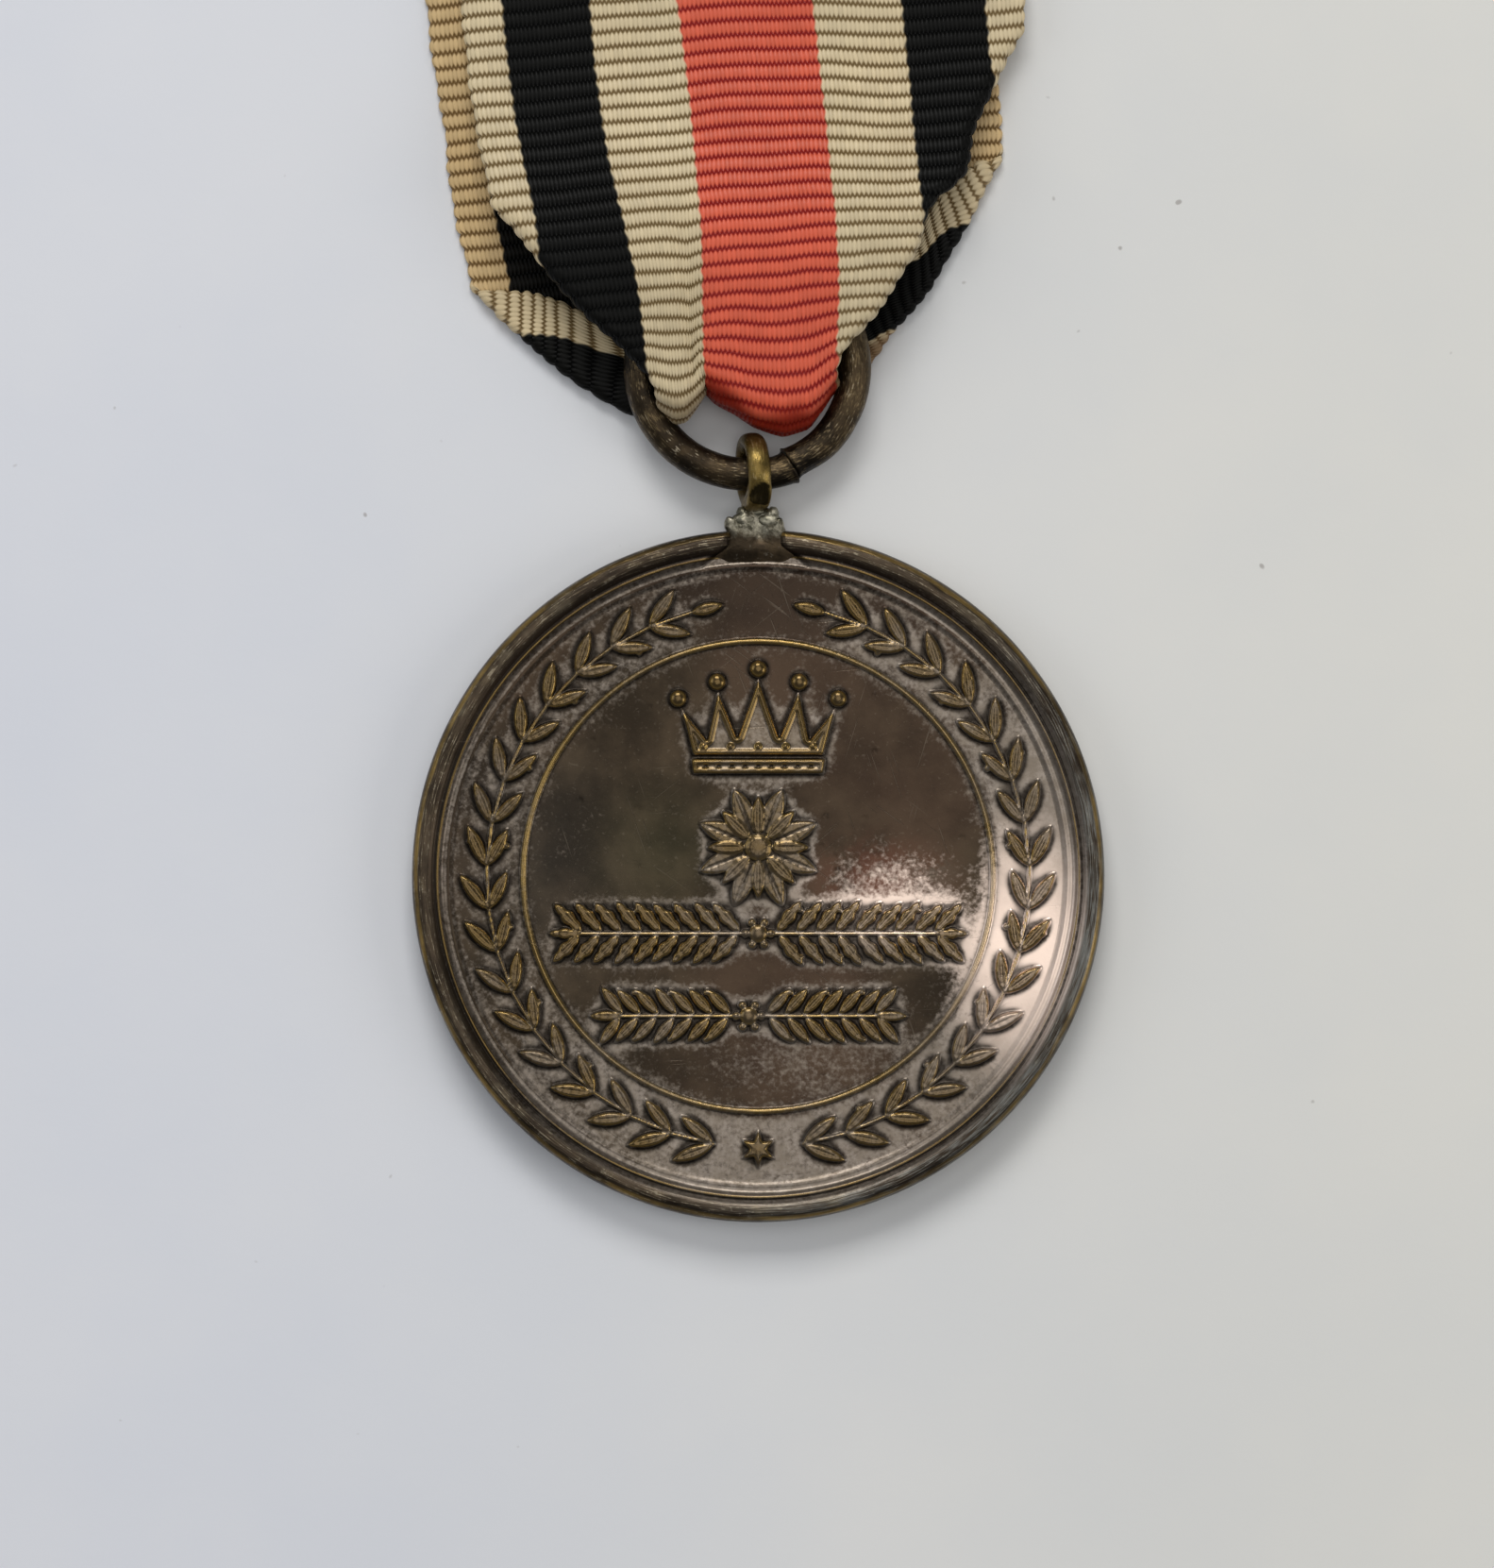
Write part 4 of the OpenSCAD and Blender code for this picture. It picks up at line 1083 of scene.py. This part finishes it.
def bronze_material(name, rim=False):
    M = Mat(name)
    relief, halo, slope, cav = (M.attr(a) for a in ("relief", "halo", "slope", "cavity"))
    pos = M.obj()
    sep = M.n("ShaderNodeSeparateXYZ")
    M.put(sep.inputs[0], pos)
    X = M.math("SUBTRACT", sep.outputs[0], OX * MM)
    Y = M.math("SUBTRACT", sep.outputs[1], OY * MM)
    R = M.math("SQRT", M.add(M.mul(X, X), M.mul(Y, Y)))
    big = M.noise(70.0, 3.0, 0.5)
    n1 = M.noise(260.0, 5.0, 0.6)
    n2 = M.noise(1100.0, 5.0, 0.7)
    grit = M.noise(5200.0, 3.0, 0.65)
    line = M.ramp(M.math("ABSOLUTE", M.math("SUBTRACT", R, 9.83 * MM)), 0.15 * MM, 0.07 * MM)

    def spot(cx, cy, rx, ry=None, soft=0.0):
        dx = M.mul(M.math("SUBTRACT", X, cx * MM), 1 / (rx * MM))
        dy = M.mul(M.math("SUBTRACT", Y, cy * MM), 1 / ((ry or rx) * MM))
        return M.ramp(M.math("SQRT", M.add(M.mul(dx, dx), M.mul(dy, dy))), 1.0, soft)

    # patina, brown to olive, with faint blue-green and red tints
    dark = M.mix(M.ramp(n1, 0.35, 0.65), srgb(0.165, 0.135, 0.10), srgb(0.24, 0.20, 0.152))
    dark = M.mix(M.ramp(big, 0.40, 0.62, 0.0, 0.5), dark, srgb(0.27, 0.205, 0.165))
    dark = M.mix(M.mul(spot(-9.5, 0.5, 6.0, 8.0), 0.24), dark, srgb(0.17, 0.18, 0.18))
    dark = M.mix(M.mul(spot(1.5, 12.0, 8.5, 3.6, 0.3), 0.5), dark, srgb(0.125, 0.10, 0.08))
    dark = M.mix(M.mul(spot(-4.0, 1.0, 4.5), 0.28), dark, srgb(0.235, 0.235, 0.16))
    dark = M.mix(M.mul(M.mul(spot(5.2, -0.4, 4.2, 2.8), 0.5), M.ramp(M.add(M.mul(n1, 0.5), M.mul(n2, 0.5)), 0.42, 0.58)), dark, srgb(0.42, 0.25, 0.20))
    dark = M.mix(M.mul(M.mul(spot(7.0, 0.2, 1.8, 1.3), 0.2), M.ramp(n2, 0.4, 0.6)), dark, srgb(0.38, 0.42, 0.38))
    # what is left of a silvery skin: near the relief, along the edges, and lower right; a painted reflection (glare) is
    # added on the lower right
    want = M.mul(M.ramp(halo, 0.0, 0.36), M.ramp(M.add(X, M.mul(Y, -0.5)), -12 * MM, 4 * MM, 0.50, 0.76))
    band = M.mul(M.ramp(R, 9.6 * MM, 10.4 * MM), M.ramp(M.add(X, M.mul(Y, -0.9)), -12 * MM, 8 * MM, 0.02, 0.64))
    band = M.math("MAXIMUM", band, M.mul(M.mul(spot(11.6, 2.0, 4.4, 9.5, 0.3), 0.80), M.ramp(R, 9.6 * MM, 10.4 * MM)))
    want = M.math("MAXIMUM", want, band)
    want = M.math("MAXIMUM", want, M.mul(spot(2.5, -8.0, 8.0, 3.0), 0.42))
    want = M.math("MAXIMUM", want, M.mul(M.ramp(M.math("ABSOLUTE", M.math("SUBTRACT", R, 9.83 * MM)), 0.8 * MM, 0.1 * MM), M.ramp(X, -9 * MM, 5 * MM, 0.16, 0.42)))
    want = M.math("MAXIMUM", want, M.mul(M.mul(M.ramp(R, 12.2 * MM, 12.7 * MM), M.ramp(R, 13.0 * MM, 12.9 * MM)), M.ramp(M.add(X, M.mul(Y, -0.9)), -13 * MM, 8 * MM, 0.34, 0.6)))
    # painted reflection: a bright pinkish-silver glare at the lower right, laid over the silvery skin
    painted_glare = M.math("MAXIMUM", spot(11.0, -3.0, 4.4, 6.6, 0.2), M.mul(spot(6.0, -0.7, 5.5, 3.2, 0.15), 0.95))
    want = M.add(want, M.mul(painted_glare, 0.50))
    want = M.mul(want, M.ramp(cav, 0.5, 0.1, 0.55, 1.0))
    mott = M.add(M.mul(n1, 0.26), M.add(M.mul(n2, 0.32), M.mul(grit, 0.42)))
    hm = M.ramp(M.math("SUBTRACT", want, M.mul(M.math("SUBTRACT", mott, 0.5), 2.6)), 0.16, 0.86)
    silver = M.mix(M.ramp(n2, 0.35, 0.7), srgb(0.47, 0.43, 0.385), srgb(0.58, 0.54, 0.50))
    # the painted glare's near-white reflection colour
    silver = M.mix(M.mul(painted_glare, 0.85), silver, srgb(0.95, 0.86, 0.80))
    col = M.mix(M.mul(hm, 0.92), dark, silver)
    # bare brass on the relief's edges
    brass = M.mix(n2, srgb(0.46, 0.37, 0.19), srgb(0.70, 0.58, 0.33))
    top = M.mul(M.ramp(relief, 0.35, 0.85), M.ramp(n1, 0.3, 0.6, 0.45, 0.95))
    col = M.mix(top, col, M.mix(n1, srgb(0.27, 0.215, 0.13), srgb(0.40, 0.325, 0.19)))
    edge = M.mul(M.ramp(slope, 0.30, 1.0), M.ramp(M.add(M.mul(n1, 0.6), M.mul(n2, 0.4)), 0.36, 0.54))
    gm = M.mul(edge, M.ramp(relief, 0.25, 0.6))
    gm = M.math("MAXIMUM", gm, M.mul(line, M.ramp(n1, 0.3, 0.6, 0.25, 0.7)))
    col = M.mix(M.mul(gm, 0.85), col, brass)
    # darker at the foot of the relief and in the rim's groove: grime in the hollows, with painted shade added there
    dirt = M.mul(M.ramp(cav, 0.10, 0.5), 0.78)
    col = M.mix(dirt, col, srgb(0.09, 0.075, 0.06))
    sc = scratches(M, 9000.0, (0.3, 0.9, 1.5, 2.2, 2.8))
    col = M.mix(M.mul(sc, 0.09), col, srgb(0.62, 0.57, 0.50))
    speck = M.ramp(grit, 0.62, 0.70)
    col = M.mix(M.mul(speck, 0.12), col, srgb(0.50, 0.46, 0.40))
    rough = M.math("SUBTRACT", M.ramp(n1, 0.3, 0.7, 0.40, 0.30), M.mul(M.math("MAXIMUM", gm, M.mul(top, 0.7)), 0.17))
    if rim:
        rimf = M.attr("rim")
        brown = M.mix(M.ramp(n1, 0.35, 0.65), srgb(0.175, 0.145, 0.115), srgb(0.27, 0.23, 0.185))
        # fine turned lines round the rim
        lines = M.n("ShaderNodeTexNoise", noise_dimensions="2D")
        ang = M.math("ARCTAN2", Y, X)
        cv = M.n("ShaderNodeCombineXYZ")
        M.put(cv.inputs[0], M.mul(R, 1 / (0.055 * MM)))
        M.put(cv.inputs[1], M.mul(ang, 13.0))
        M.put(lines.inputs["Vector"], cv.outputs[0])
        lines.inputs["Scale"].default_value = 1.0
        lines.inputs["Detail"].default_value = 2.0
        ln = lines.outputs[0]
        brown = M.mix(M.mul(M.ramp(M.add(M.mul(ln, 0.7), M.mul(n2, 0.3)), 0.49, 0.62), 0.42), brown, srgb(0.42, 0.37, 0.29))
        brown = M.mix(M.mul(M.ramp(M.add(M.mul(ln, 0.5), M.mul(grit, 0.5)), 0.57, 0.63), 0.36), brown, srgb(0.66, 0.62, 0.54))
        grey = M.ramp(M.add(X, M.mul(Y, -0.5)), 2 * MM, 14 * MM, 0.0, 0.8)
        brown = M.mix(M.mul(grey, M.ramp(M.add(M.mul(n1, 0.5), M.mul(ln, 0.5)), 0.40, 0.6)), brown, srgb(0.40, 0.405, 0.395))
        brown = M.mix(M.mul(M.ramp(M.noise(300.0, 4.0, 0.7), 0.55, 0.7), 0.35), brown, srgb(0.50, 0.46, 0.38))
        brown = M.mix(M.mul(M.ramp(slope, 0.3, 0.8), M.ramp(n1, 0.4, 0.6, 0.2, 0.75)), brown, brass)
        col = M.mix(rimf, col, brown)
        h = M.add(M.mul(n2, 0.5), M.add(M.mul(grit, 0.25), M.mul(M.mul(ln, rimf), 0.8)))
    else:
        h = M.add(M.mul(n2, 0.6), M.add(M.mul(grit, 0.3), M.mul(sc, -0.22)))
    nrm = M.bump(h, 0.5, 0.00004)
    return M.out(Base_Color=col, Metallic=0.9, Roughness=rough, Normal=nrm)


def wire_material(name, lo, mid, hi, seed, rough=0.38, uv=True, facet=False):
    """dark bronze or brass wire with drawn lines and wear; streaks run along the wire when it has a UV map"""
    M = Mat(name)
    v = M.mapped(loc=(seed * 0.01, 0, 0))
    n1, n2, n3 = M.noise(520.0, 5.0, 0.65, vec=v), M.noise(2100.0, 4.0, 0.65, vec=v), M.noise(240.0, 2.0, 0.5, vec=v)
    col = M.mix(M.ramp(M.add(M.mul(n1, 0.5), M.mul(n3, 0.5)), 0.40, 0.60), srgb(*lo), srgb(*mid))
    if uv:
        st = M.n("ShaderNodeTexNoise", noise_dimensions="2D")
        mp = M.n("ShaderNodeMapping")
        M.put(mp.inputs["Vector"], M.n("ShaderNodeUVMap", uv_map="UVMap").outputs[0])
        mp.inputs["Scale"].default_value = (30 * 2.6, 30 * 15.0, 1)
        M.put(st.inputs["Vector"], mp.outputs[0])
        st.inputs["Scale"].default_value = 1.0
        st.inputs["Detail"].default_value = 3.0
        st.inputs["Roughness"].default_value = 0.6
        streak = st.outputs[0]
    else:
        streak = n2
    wear = M.ramp(M.add(M.mul(n1, 0.35), M.add(M.mul(n2, 0.25), M.mul(streak, 0.4))), 0.50, 0.60)
    col = M.mix(M.mul(wear, 0.6), col, srgb(*hi))
    glint = M.ramp(M.add(M.mul(streak, 0.6), M.mul(n2, 0.4)), 0.60, 0.65)
    col = M.mix(M.mul(glint, M.ramp(n3, 0.42, 0.58, 0.12, 0.45)), col, srgb(0.74, 0.70, 0.62))
    h = M.add(M.mul(n1, 0.4), M.add(M.mul(n2, 0.4), M.mul(streak, 0.5)))
    rg = M.ramp(n2, 0.3, 0.7, rough - 0.08, rough + 0.12)
    if facet:
        f = M.attr("facet")
        col = M.mix(M.mul(f, 0.9), col, M.mix(M.ramp(n2, 0.5, 0.7), srgb(0.10, 0.085, 0.04), srgb(0.24, 0.20, 0.09)))
    return M.out(Base_Color=col, Metallic=0.9, Roughness=rg, Normal=M.bump(h, 0.7, 0.00005))


def lug_material():
    M = Mat("lug_brass")
    sep = M.n("ShaderNodeSeparateXYZ")
    M.put(sep.inputs[0], M.obj())
    y = sep.outputs[1]
    n1, n2 = M.noise(700.0, 5.0, 0.65), M.noise(2600.0, 4.0, 0.7)
    up = M.ramp(M.add(y, M.mul(M.math("SUBTRACT", n1, 0.5), 0.0012)), (13.9 + OY) * MM, (14.75 + OY) * MM)
    base = M.mix(M.ramp(n1, 0.4, 0.6), srgb(0.19, 0.155, 0.11), srgb(0.29, 0.24, 0.175))
    tin = M.mix(M.ramp(n2, 0.38, 0.62), srgb(0.31, 0.295, 0.245), srgb(0.62, 0.60, 0.53))
    col = M.mix(up, base, tin)
    col = M.mix(M.mul(M.ramp(n2, 0.60, 0.68), M.add(0.15, M.mul(up, 0.45))), col, srgb(0.78, 0.75, 0.68))
    h = M.add(M.mul(n1, 0.4), M.mul(n2, M.add(0.3, M.mul(up, 0.7))))
    return M.out(Base_Color=col, Metallic=0.88, Roughness=M.ramp(n1, 0.3, 0.7, 0.34, 0.48), Normal=M.bump(h, 0.8, 0.00008))


ribbon.data.materials.append(ribbon_material())
face_mat = bronze_material("struck_bronze_face")
disc_face.data.materials.append(face_mat)
disc_border.data.materials.append(face_mat)
disc_back.data.materials.append(face_mat)
disc_rim.data.materials.append(bronze_material("struck_bronze_rim", rim=True))
ring_ob.data.materials.append(wire_material("ring_bronze", (0.112, 0.094, 0.072), (0.265, 0.218, 0.155), (0.50, 0.43, 0.31), 3))
eye_ob.data.materials.append(wire_material("eye_brass", (0.34, 0.275, 0.14), (0.50, 0.42, 0.225), (0.70, 0.61, 0.40), 5, 0.32, facet=True))
lug_ob.data.materials.append(lug_material())
solder_ob.data.materials.append(wire_material("tin_solder", (0.31, 0.30, 0.25), (0.50, 0.485, 0.42), (0.70, 0.68, 0.61), 9, 0.42, uv=False))
for nname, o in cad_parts.items():
    if not o.data.materials:
        o.data.materials.append(face_mat)


# ---------------------------------------------------------------- paper, light, camera
def paper_material():
    M = Mat("pale_paper")
    n = M.noise(40.0, 4.0, 0.6)
    f = M.noise(1400.0, 3.0, 0.6)
    col = M.mix(M.ramp(n, 0.3, 0.7), srgb(0.865, 0.87, 0.895), srgb(0.885, 0.885, 0.90))
    # painted light: the paper is tinted a little cooler on the left and warmer on the right
    sx = M.n("ShaderNodeSeparateXYZ")
    M.put(sx.inputs[0], M.obj())
    col = M.mix(M.ramp(sx.outputs[0], -0.03, 0.03), M.mix(1.0, col, srgb(0.985, 0.993, 1.0), "MULTIPLY"), M.mix(1.0, col, srgb(0.99, 0.985, 0.945), "MULTIPLY"))
    speck = M.ramp(M.noise(900.0, 1.0, 0.5), 0.79, 0.82)
    col = M.mix(M.mul(speck, 0.6), col, srgb(0.55, 0.52, 0.5))
    return M.out(Base_Color=col, Roughness=0.9, Specular_IOR_Level=0.15, Normal=M.bump(f, 0.15, 0.00005))


bpy.ops.mesh.primitive_plane_add(size=3.0, location=(0, 0, -0.00002))
floor = bpy.context.object
floor.name = "paper"
floor.data.materials.append(paper_material())

world = bpy.data.worlds.new("studio")
world.use_nodes = True
world.node_tree.nodes["Background"].inputs[0].default_value = (0.95, 0.97, 1.0, 1)
world.node_tree.nodes["Background"].inputs[1].default_value = 0.20
bpy.context.scene.world = world


def area(name, loc, target, size, power, col=(1, 1, 1)):
    li = bpy.data.lights.new(name, "AREA")
    li.shape = "RECTANGLE"
    li.size, li.size_y = size
    li.energy = power
    li.color = col
    ob = bpy.data.objects.new(name, li)
    ob.location = loc
    ob.rotation_euler = (Vector(target) - Vector(loc)).to_track_quat("-Z", "Y").to_euler()
    bpy.context.collection.objects.link(ob)
    return ob


area("overhead", (0.04, 0.02, 0.80), (0, 0, 0), (0.50, 0.50), 1.2, (1.0, 0.99, 0.97))
area("key", (-0.03, 0.38, 0.42), (0, 0, 0), (0.28, 0.22), 1.62, (1.0, 0.99, 0.97))
area("side", (0.40, -0.10, 0.26), (0, 0, 0), (0.22, 0.28), 0.45, (1.0, 0.98, 0.96))
area("fill", (-0.40, 0.08, 0.30), (0, 0, 0), (0.30, 0.30), 0.38, (0.93, 0.96, 1.0))

cam = bpy.data.cameras.new("camera")
cam_ob = bpy.data.objects.new("camera", cam)
bpy.context.collection.objects.link(cam_ob)
cam_ob.location = ((-0.47 + OX) * MM, (3.85 + OY) * MM, 0.452)
cam_ob.rotation_euler = (0, 0, 0)
cam.sensor_fit = "VERTICAL"
cam.sensor_height = 36.0
cam.lens = 36.0 * 450.0 / 65.54
cam.clip_start, cam.clip_end = 0.01, 10
bpy.context.scene.camera = cam_ob
bpy.context.scene.view_settings.view_transform = "Standard"
